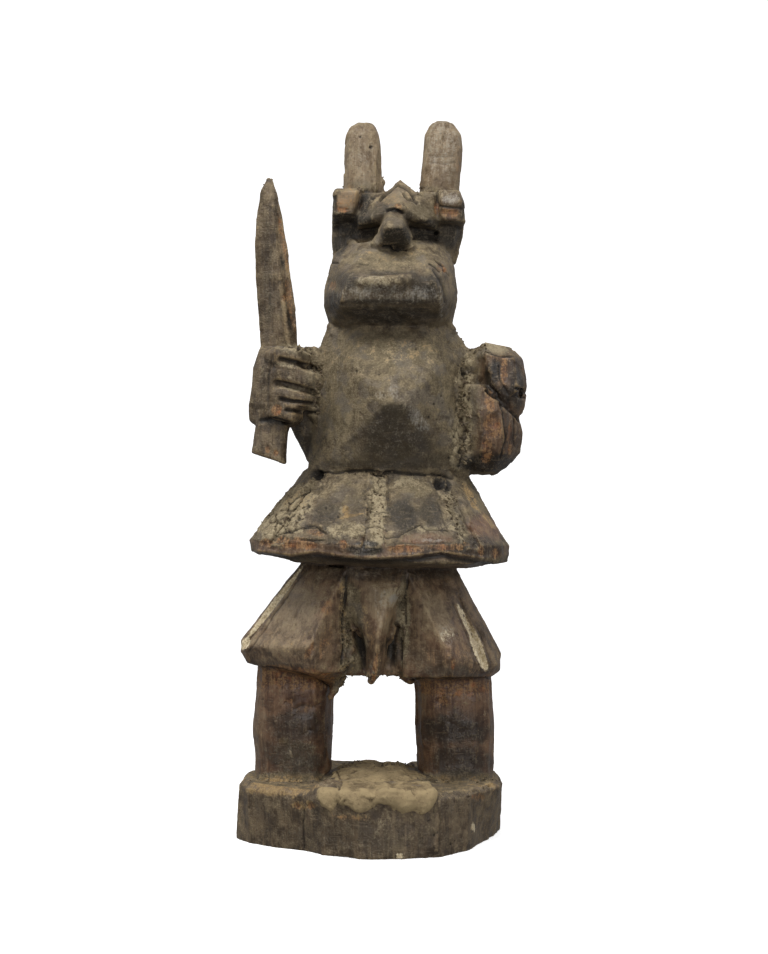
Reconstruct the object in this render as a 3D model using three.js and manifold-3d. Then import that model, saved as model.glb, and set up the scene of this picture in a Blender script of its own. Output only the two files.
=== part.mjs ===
// A standing ikenga figure, carved with adze and knife from one log of wood, crusted with old offerings.
// Millimetres, +Z up. The origin is the middle of the base's underside. The figure faces -Y, and its own right
// hand, which holds the knife, is on the -X side. "front" is a reach towards -Y and "back" a reach towards +Y.
import * as THREE from "three";
import { ConvexGeometry } from "three/addons/geometries/ConvexGeometry.js";
import { LoftGeometry } from "three/addons/geometries/LoftGeometry.js";
import { mergeVertices } from "three/addons/utils/BufferGeometryUtils.js";
import Module from "manifold-3d";

const wasm = await Module();
wasm.setup();

// Driving dimensions. The whole work is 500 tall and 186 across its base.
const base = { height: 41.5, wornEdge: 4 };
const leg = { half: 27, front: 24, back: 36, foot: 32, hip: 126, left: -53.5, right: 60 };
const breeches = { top: 193, crotch: 116, front: 50, back: 44 };
const skirt = { x: 7, waist: 256, waistHalf: 56, waistX: 12, rim: 207, rimHalf: 90.5, thickness: 9, tilt: -0.022 };
const channel = { count: 8, width: 14, depth: 2.5, first: -93 };
const torso = { waist: 251, shoulder: 338, neck: 356, belly: 300, reach: 74 };
const head = { jaw: 386, eye: 421, crown: 447 };
const horn = { root: 436, half: 13.6, left: -4.5, right: 50 };
const finger = { half: 6.5, front: 60 };

const v = (x, front, z) => new THREE.Vector3(x, -front, z);
const power = (value, exponent) => Math.sign(value) * Math.abs(value) ** exponent;
const times = (count, make) => Array.from({ length: count }, (_, i) => make(i));

// A closed geometry as a manifold-3d solid, which joins and cuts.
function solid(geometry) {
  const bare = new THREE.BufferGeometry();
  const plain = geometry.index ? geometry.toNonIndexed() : geometry;
  bare.setAttribute("position", plain.getAttribute("position"));
  const merged = mergeVertices(bare, 1e-4);
  return new wasm.Manifold(
    new wasm.Mesh({
      numProp: 3,
      vertProperties: merged.attributes.position.array,
      triVerts: new Uint32Array(merged.index.array),
    }),
  );
}

const hull = (points) => solid(new ConvexGeometry(points.flat()));
const skin = (rings) => solid(new LoftGeometry(rings, { capStart: true, capEnd: true }));
const join = (parts) => parts.reduce((whole, part) => whole.add(part));
const cut = (whole, cutters) => cutters.reduce((left, cutter) => left.subtract(cutter), whole);

// The corners of a level slab of wood, its upright edges cut off by a bevel of so much across and along.
function slab(z, [left, right], [front, back], [across, along] = [0, 0], tilt = 0) {
  const middle = (left + right) / 2;
  const corner = (x, reach) => v(x, reach, z + tilt * (x - middle));
  return [left, right].flatMap((side) => {
    const inside = side + Math.sign(middle - side) * across;
    return [corner(inside, front), corner(side, front - along), corner(side, along - back), corner(inside, -back)];
  });
}

// A level section: a rounded rectangle, squarer as square grows, its plane tipped by tilt.
function section({ z, x, half, front, back, square = 2.6, tilt = 0, sides = 16 }) {
  const depth = (front + back) / 2;
  return times(sides, (i) => {
    const angle = ((i + 0.5) / sides) * 2 * Math.PI;
    const dx = half * power(Math.cos(angle), 2 / square);
    const dy = depth * power(Math.sin(angle), 2 / square);
    return new THREE.Vector3(x + dx, (back - front) / 2 + dy, z + tilt * dx);
  });
}

// Skins level sections from the lowest to the highest. What they share is given once.
function loft(shared, levels) {
  return skin(levels.map((level) => section({ ...shared, ...level })));
}

// A finger, groove or bar: rings square to its line, each with a half width and a half thickness.
function limb(stations, sides = 8, square = 2.4) {
  const last = stations.length - 1;
  const rings = stations.map(({ at, half, thick = half }, i) => {
    const along = stations[Math.min(i + 1, last)].at.clone().sub(stations[Math.max(i - 1, 0)].at).normalize();
    const side = new THREE.Vector3(0, 1, 0).cross(along).normalize();
    const up = along.clone().cross(side);
    return times(sides, (k) => {
      const angle = ((k + 0.5) / sides) * 2 * Math.PI;
      const across = half * power(Math.cos(angle), 2 / square);
      const deep = thick * power(Math.sin(angle), 2 / square);
      return at.clone().addScaledVector(side, across).addScaledVector(up, deep);
    });
  });
  return skin(rings);
}

// The base: a drum with the facets that the adze left. Each corner gives its x and front at the foot, and how far the
// top leans out over it.
function makeBase() {
  const corners = [
    [93, -24, 0.99], [88, -2, 1.06], [80, 18, 1.13], [66, 58, 1.03], [46, 81, 1], [20, 87, 1.01], [-7, 87, 1.01],
    [-31, 72, 1.04], [-43, 56, 1.07], [-65, 43, 1.05], [-82, 28, 1.02], [-93, 9, 0.97], [-91, -24, 0.98],
    [-76, -53, 0.98], [-47, -78, 0.98], [-10, -88, 0.98], [28, -86, 0.98], [62, -68, 0.98], [85, -46, 0.98],
  ];
  const ring = (z, inset, leaning) => {
    return corners
      .map(([x, front, lean]) => {
        const kept = (leaning ? lean : 1) - inset / Math.hypot(x, front);
        return v(x * kept, front * kept, z);
      })
      .reverse();
  };
  const { height, wornEdge } = base;
  return skin([ring(0, 0, false), ring(height - wornEdge, 0, true), ring(height, wornEdge, true)]);
}

// The mound of crust between the feet, which spills over the front edge of the base in flat lobes.
function makeMound() {
  const { height } = base;
  const spread = loft({ x: 5, sides: 14, square: 2.2 }, [
    { z: height - 6, half: 40, front: 84, back: 70 },
    { z: height + 2, half: 38, front: 82, back: 68 },
    { z: height + 5, half: 30, front: 66, back: 56 },
    { z: height + 6.5, half: 18, front: 40, back: 36 },
  ]);
  const places = [[-24, 64, 17, 13], [-5, 72, 20, 11], [13, 73, 18, 9], [31, 70, 18, 11]];
  const lobes = places.map(([x, front, wide, deep]) => {
    const lobe = new THREE.SphereGeometry(1, 14, 8);
    lobe.scale(wide, 16, deep);
    lobe.translate(x, -front, height - 5);
    return solid(lobe);
  });
  return join([spread, ...lobes]);
}

// The legs: two stout posts that bulge at the calf.
function makeLegs() {
  const { half, front, back, foot, hip } = leg;
  return [leg.left, leg.right].map((x) =>
    loft({ front, back, square: 2.7, sides: 14 }, [
      { z: foot, x, half: half - 0.3, front: front - 1 },
      { z: 55, x, half: half - 0.3 },
      { z: 76, x: x - 0.4, half: half + 0.8, front: front + 2 },
      { z: 98, x: x * 0.98, half, front: front + 4 },
      { z: 112, x: x * 0.96, half: half + 0.6, front: front + 5 },
      { z: hip, x: x * 0.94, half: half + 0.6, front: front + 6 },
    ]),
  );
}

// The breeches: two flaring flaps, each a flat panel from its slanting outer edge to the fold that juts in front,
// with a deep valley between it and the pendant in the middle.
function makeBreeches() {
  const { top, crotch, front, back } = breeches;
  const core = hull([
    slab(top, [-34, 44], [front - 8, back], [18, 16]),
    slab(crotch + 12, [-38, 44], [front - 10, back], [18, 16]),
    slab(crotch, [-28, 34], [front - 14, back - 8], [10, 10]),
  ]);
  const left = hull([
    [v(-46, 24, top), v(-16, front, top - 4), v(-16, front - 4, crotch + 4)],
    [v(-89.5, 15, 138.5), v(-86.5, 26, 134), v(-89.5, 13, 130), v(-84, 22, 123)],
    [v(-40, 66.5, 137), v(-37, 62.5, 119.5), v(-29, 46, 114), v(-24, 26, 108), v(-24, -28, 108)],
    [v(-46, -30, top), v(-16, -back, top), v(-16, -back, crotch + 6)],
    [v(-86, -26, 138), v(-84, -24, 124), v(-40, -61, 136), v(-39, -59, 124)],
  ]);
  const right = hull([
    [v(57, 24, top), v(25, front, top - 4), v(23, front - 4, crotch)],
    [v(91.5, 14, 129), v(88, 30, 123), v(91, 12, 117), v(83, 26, 112.5)],
    [v(55, 66, 130), v(56, 63, 117), v(34, 44, 113), v(30, -28, 112)],
    [v(57, -30, top), v(25, -back, top), v(25, -back, crotch + 6)],
    [v(88, -26, 132), v(85, -24, 116), v(52, -61, 134), v(51, -59, 120)],
  ]);
  return join([core, left, right, makePendant()]);
}

// The pendant front of the breeches: a keeled wedge between the valleys, ending in a pointed tongue.
function makePendant() {
  const { top, front } = breeches;
  const keel = hull([
    [v(-14, front - 1, top), v(25, front - 1, top), v(-13, front, 169), v(24, front, 172)],
    [v(-9.5, front + 2, 150), v(17.5, front + 2, 143)],
    [v(0, 58.5, 178), v(19, 59.5, 178), v(11, 63.5, 170), v(6, 65.5, 145)],
    [v(-3, 30, 130), v(12, 30, 130), v(0, 54, 130), v(11, 54, 130)],
  ]);
  const tongue = hull([
    [v(-3.5, 52, 148), v(15, 52, 146), v(6, 65.5, 145)],
    [v(-0.8, 57, 121), v(10, 57, 121), v(4.5, 64, 120), v(2.8, 60, 113)],
    [v(-1, 38, 140), v(12, 38, 140), v(0, 47, 120), v(9, 47, 120)],
  ]);
  return join([keel, tongue]);
}

// The shallow grooves along the slanting outer edges of the breeches, once filled with white clay.
function makeEdgeGrooves() {
  const groove = (from, to, above, below) => limb([{ at: from, half: above }, { at: to, half: below }], 6, 2);
  return [
    groove(v(-47, 27, 190), v(-86.5, 23.5, 134), 2.7, 2.7),
    groove(v(60.5, 32, 171), v(79, 40, 119), 1.5, 4.4),
  ];
}

// The skirt: a flared cone with a thick rim, bevelled below, with channels down it that old clay fills.
function makeSkirt() {
  const { x, waist, waistHalf, waistX, rim, rimHalf, thickness, tilt } = skirt;
  const shared = { x, tilt, square: 2.5, sides: 20 };
  const cone = loft(shared, [
    { z: rim - thickness - 7, half: rimHalf - 28, front: 60, back: 56, tilt: tilt * 1.8 },
    { z: rim - thickness - 2, half: rimHalf - 1, front: 83.5, back: 77, tilt: tilt * 1.8 },
    { z: rim - 1, half: rimHalf, front: 85, back: 78 },
    { z: rim + 3, half: rimHalf - 3, front: 82.5, back: 75.5 },
    { z: waist, half: waistHalf, front: 44, back: 44, x: waistX },
  ]);
  const channels = times(channel.count, (i) => {
    const turn = THREE.MathUtils.degToRad(channel.first + (i * 360) / channel.count);
    const out = new THREE.Vector3(Math.cos(turn), Math.sin(turn), 0);
    const across = new THREE.Vector3(-out.y, out.x, 0).multiplyScalar(channel.width / 2);
    const reach = (height) => {
      const flare = (waist - height) / (waist - rim);
      const half = THREE.MathUtils.lerp(waistHalf, rimHalf - 3, flare);
      const depth = THREE.MathUtils.lerp(44, out.y < 0 ? 82.5 : 75.5, flare);
      const lean = Math.abs(out.x / half) ** 2.5 + Math.abs(out.y / depth) ** 2.5;
      return lean ** (-1 / 2.5);
    };
    const edge = (height, shift) => {
      const middle = out.clone().multiplyScalar(reach(height) + shift);
      const centre = THREE.MathUtils.lerp(waistX, x, (waist - height) / (waist - rim));
      return new THREE.Vector3(centre + middle.x, middle.y, height + tilt * middle.x);
    };
    const line = [edge(waist + 3, -channel.depth), edge(rim - 3, -channel.depth)];
    const outer = [edge(waist + 3, 12), edge(rim - 3, 12)];
    return hull([...line, ...outer].map((at) => [at.clone().add(across), at.clone().sub(across)]));
  });
  return cut(cone, channels);
}

// The torso: a faceted block whose belly juts to a blunt point, with its underside cut back to the waist.
function makeTorso() {
  const { waist, shoulder, neck, belly, reach } = torso;
  return hull([
    slab(waist, [-42.5, 69], [42, 42], [30, 16]),
    slab(shoulder, [-35, 69], [34, 46], [18, 14]),
    slab(neck, [-28, 57], [40, 40], [18, 16]),
    [v(11, reach, belly), v(24, reach, belly - 1), v(17, reach - 1, belly + 5)],
    [v(-7, reach - 13, belly + 22), v(42, reach - 14, belly + 22), v(17, reach - 11, belly + 24)],
  ]);
}

// The skull with its temples, the two brows that slope down from the faceted crest between them, and the ear blocks.
function makeSkull() {
  const { eye, crown } = head;
  const skull = hull([
    slab(400, [-22, 57], [20, 40], [6, 8]),
    slab(eye, [-25, 65], [20, 52], [5, 14]),
    slab(crown, [-21, 62], [24, 46], [6, 14]),
  ]);
  const crestTip = [v(19, 50.5, 432.5), v(19, 42, 428.5)];
  const leftBrow = hull([
    crestTip,
    [v(-7, 37, 424.5), v(-8, 34, 421.5), v(-10, 20, 447), v(12, 24, 447)],
    [v(-10, 12, 422), v(19, 12, 426), v(19, 24, 447)],
  ]);
  const rightBrow = hull([
    crestTip,
    [v(45, 36, 424.5), v(46, 33, 421), v(48, 20, 447), v(28, 24, 447)],
    [v(48, 12, 422), v(19, 12, 426), v(19, 24, 447)],
  ]);
  const crest = hull([
    [v(21.5, 9, 458.8), v(21, -2, 457)],
    [v(7.5, 22, 445), v(34, 22, 446), v(4, -14, 444), v(38, -14, 444)],
    [v(19, 51, 433), v(22.5, 50.5, 432.5), v(6, 35, 437), v(36, 34, 436)],
  ]);
  const leftEar = hull([
    slab(449, [-23.5, -6.5], [31, 4], [2, 3]),
    slab(446, [-24.5, -6.5], [37, 4], [2, 3]),
    slab(431, [-25, -9.5], [36, 4], [2, 3]),
    slab(424, [-25.5, -10], [17, 4], [2, 3]),
  ]);
  const rightEar = hull([
    slab(447.5, [48, 62], [31, 4], [2, 3]),
    slab(439, [47.5, 65], [38, 4], [2, 4]),
    slab(426, [48, 65.5], [35, 4], [3, 4]),
    slab(424, [47, 65.5], [17, 4], [2, 4]),
  ]);
  const temples = [
    hull([
      slab(430, [-25.5, -10], [17, 4], [3, 4]),
      slab(412, [-26, -12], [14, 4], [3, 4]),
      slab(403, [-24, -12], [10, 4]),
    ]),
    hull([
      slab(430, [48, 65.5], [17, 4], [3, 4]),
      slab(418, [50, 65], [14, 4], [3, 4]),
      slab(400, [51, 60], [8, 4]),
    ]),
  ];
  return join([skull, leftBrow, rightBrow, crest, leftEar, rightEar, ...temples]);
}

// The muzzle: cheeks that slope out to a wide mouth, a heavy lip and chin, and the nose wedge over them.
function makeMuzzle() {
  const { jaw } = head;
  const block = hull([
    slab(414, [-12, 46], [28, 35], [5, 6]),
    slab(404, [-24, 56], [48, 40], [20, 24]),
    slab(jaw + 4, [-28, 58.5], [66, 44], [19, 42]),
    slab(jaw - 5, [-31, 60.5], [71, 44], [16, 46]),
    slab(368.5, [-31, 60], [69, 42], [12, 44]),
    slab(353, [-27, 56], [40, 38], [12, 24]),
  ]);
  const lip = limb(
    [
      { at: v(-14, 62, 385), half: 3.5, thick: 3 },
      { at: v(-2, 69, 382), half: 5, thick: 4.5 },
      { at: v(13, 70.5, 380.5), half: 5.5, thick: 5 },
      { at: v(28, 68.5, 383), half: 5, thick: 4.5 },
      { at: v(40, 60, 388), half: 3.5, thick: 3 },
    ],
    8,
    2,
  );
  const nose = hull([
    [v(13, 45, 431), v(23, 45, 430.5)],
    [v(10.5, 66, 420.5), v(23, 66, 420), v(11, 68, 417.5), v(22.5, 68, 417)],
    [v(7, 53, 407), v(28, 53, 407)],
    [v(11, 30, 432), v(25, 30, 432), v(3, 34, 404), v(32, 34, 404)],
  ]);
  return join([block, lip, nose]);
}

// The mouth's shallow smile, and the two sunk eyes beneath the brow.
function makeFaceCuts() {
  const smile = limb(
    [
      { at: v(-17, 63, 392), half: 1 },
      { at: v(-7, 69.5, 388), half: 2.2 },
      { at: v(13, 71, 386), half: 2.6 },
      { at: v(31, 69, 388.5), half: 2.2 },
      { at: v(42, 60, 393), half: 1 },
    ],
    6,
    2,
  );
  const eyes = [[-3, -1], [40, 1]].map(([x, side]) =>
    hull([
      slab(421, [x - 8, x + 8], [32, -14], [3, 3]),
      slab(412 + side, [x - 6, x + 6], [34, -18], [3, 3]),
    ]),
  );
  return [smile, ...eyes];
}

// The horns: two upright blunt posts with rounded tops.
function makeHorns() {
  const shared = { front: 17, back: 13, square: 2.6, sides: 12 };
  const { root, half } = horn;
  const left = loft({ ...shared, x: horn.left }, [
    { z: root, half: half + 1.6, x: horn.left + 0.6 },
    { z: 458, half, x: horn.left + 0.2 },
    { z: 480, half: half - 0.9, front: 14, back: 12 },
    { z: 490, half: half - 2.2, front: 12, back: 11 },
    { z: 495.5, half: 9, front: 8, back: 8 },
    { z: 498.3, half: 5.4, front: 4.5, back: 4.5, x: horn.left + 1 },
  ]);
  const right = loft({ ...shared, x: horn.right }, [
    { z: root, half: half + 1.2, x: horn.right - 2 },
    { z: 458, half: half + 0.4, x: horn.right - 0.6 },
    { z: 480, half: half + 0.1, x: horn.right + 1.4, front: 14, back: 12 },
    { z: 490, half: half - 0.8, x: horn.right + 1.4, front: 12, back: 11 },
    { z: 496.5, half: 8.8, x: horn.right + 0.8, front: 8, back: 8 },
    { z: 500, half: 4, x: horn.right + 0.6, front: 4, back: 4 },
  ]);
  return left.add(right);
}

// The knife: a leaf blade with an off-centre spine, each station giving its left edge, spine and right edge.
function makeKnife() {
  const middle = 44;
  const stations = [
    { z: 330, edge: [-73, -51.4, -48.6], thick: 5.4 },
    { z: 352, edge: [-74, -54, -48.6], thick: 5.4 },
    { z: 368, edge: [-75.2, -57.6, -50], thick: 5.2 },
    { z: 386, edge: [-77, -62.4, -53.2], thick: 5 },
    { z: 408, edge: [-77.6, -66, -55.6], thick: 4.7 },
    { z: 430, edge: [-76, -68, -59.4], thick: 4.2 },
    { z: 446, edge: [-73.5, -69, -63], thick: 3.4 },
    { z: 454, edge: [-69.6, -67.4, -65.2], thick: 1.6 },
  ];
  const blade = skin(
    stations.map(({ z, edge: [left, spine, right], thick }) => [
      v(left, middle - 1, z),
      v(left, middle + 1, z),
      v(spine, middle + thick, z),
      v(right, middle + 1, z),
      v(right, middle - 1, z),
      v(spine, middle - thick, z),
    ]),
  );
  const pommel = hull([
    slab(296, [-75, -54], [55, -33], [3, 3]),
    slab(264, [-79.4, -57], [55, -33], [3, 3], -0.32),
  ]);
  return blade.add(pommel);
}

// The right arm with its fist: the back of the hand outside, four fingers curling round the hilt to the body.
function makeRightArm() {
  const arm = hull([
    slab(337, [-50, -28], [20, 16], [6, 6]),
    slab(300, [-60, -34], [26, 18], [8, 8]),
    slab(279, [-51, -34], [24, 14], [6, 6]),
    slab(256, [-39, -32], [10, 6]),
  ]);
  const hand = hull([
    slab(338.5, [-74, -44], [57, 12], [9, 9]),
    slab(325, [-78.5, -42], [60, 12], [12, 12]),
    slab(300, [-81, -42], [59, 12], [12, 12]),
    slab(289.5, [-81, -48], [56, 12], [12, 12]),
    slab(286, [-76, -52], [52, -16], [6, 6]),
  ]);
  const tops = [[332.5, -42, -2.5, 8], [319.5, -33, -5, 7.2], [306.5, -37, -3.5, 6], [295.5, -46, -2, 6]];
  const fingers = tops.map(([z, tip, droop, thick]) =>
    limb(
      [
        { at: v(-67, finger.front - 7, z), half: 3.5, thick: thick - 2 },
        { at: v(-60, finger.front - 1, z), half: finger.half, thick: thick - 0.4 },
        { at: v(tip - 7, finger.front, z + droop * 0.6), half: finger.half, thick },
        { at: v(tip, finger.front - 8, z + droop), half: 5, thick: thick * 0.55 },
      ],
      10,
      3.6,
    ),
  );
  return join([arm, hand, ...fingers]);
}

// The left arm, bent at the elbow, and the small trophy head that its hand holds by the neck, face outwards.
function makeLeftArm() {
  const arm = hull([
    slab(339, [56, 84], [24, 22], [6, 6]),
    slab(300, [60, 92], [28, 22], [8, 12]),
    slab(264, [58, 90], [28, 18], [8, 10]),
    slab(253.5, [62, 82], [20, 10], [5, 5]),
  ]);
  const hand = hull([
    slab(314, [66, 80], [42, 4], [4, 6]),
    slab(297, [62, 102], [46, 4], [12, 16]),
    slab(282, [62, 106], [44, 4], [14, 22]),
    slab(268, [62, 105], [40, 4], [14, 22]),
    slab(257, [63, 95], [30, 2], [10, 14]),
    slab(253, [65, 86], [20, 0], [5, 5]),
  ]);
  const trophy = hull([
    slab(341.5, [78, 97], [30, 2], [4, 8], -0.14),
    slab(334, [73, 105], [38, 4], [6, 12], -0.1),
    slab(314, [76, 108.5], [41, 4], [8, 16]),
    slab(299, [90, 106.5], [36, 0], [6, 10]),
    slab(294.5, [95, 105], [30, -4], [4, 6]),
  ]);
  const groove = limb([{ at: v(77, 43, 317), half: 2.6 }, { at: v(108, 38, 290), half: 2.6 }], 6, 2);
  const eye = limb([{ at: v(99, 27, 309), half: 3 }, { at: v(112, 40, 309), half: 3.4 }], 8, 2);
  const knuckles = [276, 284].map((z) =>
    limb([{ at: v(94, 43, z + 8), half: 1.3 }, { at: v(107, 22, z), half: 1.5 }], 6, 2),
  );
  return cut(join([arm, hand, trophy]), [groove, eye, ...knuckles]);
}

function meshOf(whole, name, color) {
  const made = whole.getMesh();
  const geometry = new THREE.BufferGeometry();
  geometry.setAttribute("position", new THREE.BufferAttribute(made.vertProperties, 3));
  geometry.setIndex(new THREE.BufferAttribute(made.triVerts, 1));
  geometry.computeVertexNormals();
  const mesh = new THREE.Mesh(geometry, new THREE.MeshStandardMaterial({ color, roughness: 0.82, metalness: 0 }));
  mesh.name = name;
  return mesh;
}

const lower = cut(join([makeBase(), makeMound(), ...makeLegs(), makeBreeches()]), makeEdgeGrooves());
const face = cut(join([makeSkull(), makeMuzzle()]), makeFaceCuts());
const figure = join([lower, makeSkirt(), makeTorso(), face, makeHorns(), makeKnife(), makeRightArm(), makeLeftArm()]);

const group = new THREE.Group();
group.add(meshOf(figure, "ikenga_figure", 0x5a4c3c));
export default group;
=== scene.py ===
# An ikenga figure: one carved hardwood shrine figure, dark with handling and crusted with old offerings.
import itertools
import math

import bpy
import numpy as np
from mathutils import Matrix, Vector


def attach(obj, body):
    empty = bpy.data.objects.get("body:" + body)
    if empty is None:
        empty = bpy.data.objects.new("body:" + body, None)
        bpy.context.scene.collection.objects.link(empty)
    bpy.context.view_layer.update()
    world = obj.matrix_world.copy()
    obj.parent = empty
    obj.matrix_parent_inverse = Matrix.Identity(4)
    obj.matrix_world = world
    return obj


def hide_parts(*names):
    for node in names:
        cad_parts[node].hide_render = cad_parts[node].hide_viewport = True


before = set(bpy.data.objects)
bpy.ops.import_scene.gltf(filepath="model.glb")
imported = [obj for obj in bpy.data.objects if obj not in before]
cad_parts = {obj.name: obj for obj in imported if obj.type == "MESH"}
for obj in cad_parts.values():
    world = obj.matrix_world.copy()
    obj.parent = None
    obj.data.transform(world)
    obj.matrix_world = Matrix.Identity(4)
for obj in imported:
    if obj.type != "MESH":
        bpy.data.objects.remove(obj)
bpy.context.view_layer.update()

# The view of the photograph, in millimetres and pixels. A point's place in the picture follows from these, so
# a patch of wear can be named by where it shows.
view = {
    "centre": (10.15, 251.3),    # what the middle of the picture looks at, across and up
    "distance": 1400,            # camera to the figure's middle
    "millimetresPerPixel": 0.7,  # at the figure's middle
    "middlePixel": (384, 477),
    "pictureHeight": 954,
    "sensor": 36,
}

latticeShift = 100.5       # keeps the cells of the noise above zero
patchFade = (0.6, 1.3)     # a patch fades out between these shares of its half width and height
turnedAway = (-0.05, 0.2)  # a surface turns away from the photograph between these slants


def smoothStep(value, low, high):
    t = np.clip((value - low) / (high - low), 0, 1)
    return t * t * (3 - 2 * t)


def window(value, low, high, soft):
    return smoothStep(value, low - soft, low + soft) * (1 - smoothStep(value, high - soft, high + soft))


# Numbers from 0 to 1 that depend only on a lattice cell and a seed. The large factors only scramble them.
def cellNumber(cell, seed):
    h = cell[:, 0] * 374761393 + cell[:, 1] * 668265263 + cell[:, 2] * 2147483647 + seed * 1274126177
    h = (h ^ (h >> 13)) & 0xFFFFFFFF
    h = (h * 1274126177) & 0xFFFFFFFF
    h = h ^ (h >> 16)
    return (h & 0xFFFFFF) / float(0xFFFFFF)


# Smooth noise from -1 to 1 with blobs of the given size, which may differ along the three axes.
def softNoise(points, size, seed):
    q = points / np.array(size, float) + latticeShift
    cell = np.floor(q).astype(np.int64)
    f = q - cell
    f = f * f * (3 - 2 * f)
    total = np.zeros(len(points))
    for corner in itertools.product((0, 1), repeat=3):
        weight = np.ones(len(points))
        for axis in range(3):
            weight *= f[:, axis] if corner[axis] else 1 - f[:, axis]
        total += weight * cellNumber(cell + np.array(corner), seed)
    return total * 2 - 1


# Layers of softNoise, each half as large and so much weaker than the last.
def lumps(points, size, seed, layers=3, fade=0.5):
    total, weight, share = np.zeros(len(points)), 0, 1
    for i in range(layers):
        total += share * softNoise(points, np.array(size, float) / 2 ** i, seed + i)
        weight += share
        share *= fade
    return total / weight


# Splits space into cells round scattered seeds. Gives the distances to the nearest two seeds, the way to the
# nearest and three numbers that belong to its cell.
def facets(points, size, seed):
    q = points / np.array(size, float) + latticeShift
    cell = np.floor(q).astype(np.int64)
    near = np.full(len(q), np.inf)
    second = np.full(len(q), np.inf)
    way = np.zeros((len(q), 3))
    own = np.zeros((len(q), 3), np.int64)
    for step in itertools.product((-1, 0, 1), repeat=3):
        at = cell + np.array(step)
        place = at + np.stack([cellNumber(at, seed + k) for k in range(3)], 1)
        delta = q - place
        distance = np.sqrt((delta ** 2).sum(1))
        closer = distance < near
        second = np.where(closer, near, np.minimum(second, distance))
        near = np.where(closer, distance, near)
        way = np.where(closer[:, None], delta, way)
        own = np.where(closer[:, None], at, own)
    tilt = np.stack([cellNumber(own, seed + 5 + k) for k in range(3)], 1) * 2 - 1
    return near, second, way, tilt


def only(piece):
    bpy.ops.object.select_all(action="DESELECT")
    piece.select_set(True)
    bpy.context.view_layer.objects.active = piece


def applied(piece, kind, **values):
    only(piece)
    modifier = piece.modifiers.new(kind.lower(), kind)
    for name, value in values.items():
        setattr(modifier, name, value)
    bpy.ops.object.modifier_apply(modifier=modifier.name)


# One ball, squashed, at a place given in millimetres across, to the front and up.
def addBall(at, radii, subdivisions=2):
    bpy.ops.mesh.primitive_ico_sphere_add(
        subdivisions=subdivisions, radius=0.001, location=(at[0] / 1000, -at[1] / 1000, at[2] / 1000),
        scale=tuple(float(r) for r in radii))
    return bpy.context.active_object


def joined(pieces):
    only(pieces[0])
    for piece in pieces:
        piece.select_set(True)
    bpy.ops.object.join()
    bpy.ops.object.transform_apply(location=True, rotation=True, scale=True)
    return pieces[0]


# A mesh's points and normals in millimetres across, to the front and up, and its edges.
def readMesh(piece):
    mesh = piece.data
    points = np.empty(len(mesh.vertices) * 3, np.float32)
    mesh.vertices.foreach_get("co", points)
    normals = np.empty(len(mesh.vertices) * 3, np.float32)
    mesh.vertex_normals.foreach_get("vector", normals)
    links = np.empty(len(mesh.edges) * 2, np.int32)
    mesh.edges.foreach_get("vertices", links)
    turned = np.array([1, -1, 1])
    return points.reshape(-1, 3) * 1000 * turned, normals.reshape(-1, 3) * turned, links.reshape(-1, 2)


def writePoints(piece, points):
    inMetres = (points * np.array([1, -1, 1]) / 1000).astype(np.float32)
    piece.data.vertices.foreach_set("co", inMetres.ravel())
    piece.data.update()


# Moves each value towards the mean of its neighbours, by a share that may differ from point to point.
def relax(values, links, share, rounds):
    count = np.bincount(links.ravel(), minlength=len(values))[:, None]
    share = np.broadcast_to(np.asarray(share, float), (len(values),))[:, None]
    for _ in range(rounds):
        total = np.empty_like(values)
        for k in range(values.shape[1]):
            column = values[:, k]
            total[:, k] = np.bincount(links[:, 0], column[links[:, 1]], len(values))
            total[:, k] += np.bincount(links[:, 1], column[links[:, 0]], len(values))
        values = values + share * (total / count - values)
    return values


def writeField(piece, name, values):
    field = piece.data.attributes.new(name, "FLOAT", "POINT")
    field.data.foreach_set("value", np.clip(values, -1, 1).astype(np.float32))


# Where each point shows in the photograph, in its pixels.
def inPicture(points):
    scale = view["millimetresPerPixel"] * (view["distance"] - points[:, 1]) / view["distance"]
    across = view["middlePixel"][0] + (points[:, 0] - view["centre"][0]) / scale
    down = view["middlePixel"][1] - (points[:, 2] - view["centre"][1]) / scale
    return across, down


# How much of each point a list of patches covers. A patch is its middle in the picture, its half width and
# height, its turn in degrees and its strength. Ragged edges follow the noise.
def patched(across, down, facing, ragged, patches):
    cover = np.zeros(len(across))
    for left, top, wide, tall, turn, strength in patches.values():
        angle = math.radians(turn)
        dx, dy = across - left, down - top
        along = (dx * math.cos(angle) + dy * math.sin(angle)) / wide
        over = (-dx * math.sin(angle) + dy * math.cos(angle)) / tall
        reach = np.sqrt(along ** 2 + over ** 2) + ragged
        cover = np.maximum(cover, strength * (1 - smoothStep(reach, *patchFade)))
    return cover * smoothStep(facing, *turnedAway)


# How near each point is to a line of picture points, from 1 on it to 0 at its half width.
def alongLine(across, down, line, width):
    nearest = np.full(len(across), np.inf)
    for (ax, ay), (bx, by) in zip(line, line[1:]):
        length = (bx - ax) ** 2 + (by - ay) ** 2
        t = np.clip(((across - ax) * (bx - ax) + (down - ay) * (by - ay)) / length, 0, 1)
        nearest = np.minimum(nearest, np.hypot(across - ax - t * (bx - ax), down - ay - t * (by - ay)))
    return 1 - smoothStep(nearest, 0.15 * width, width)


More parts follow.
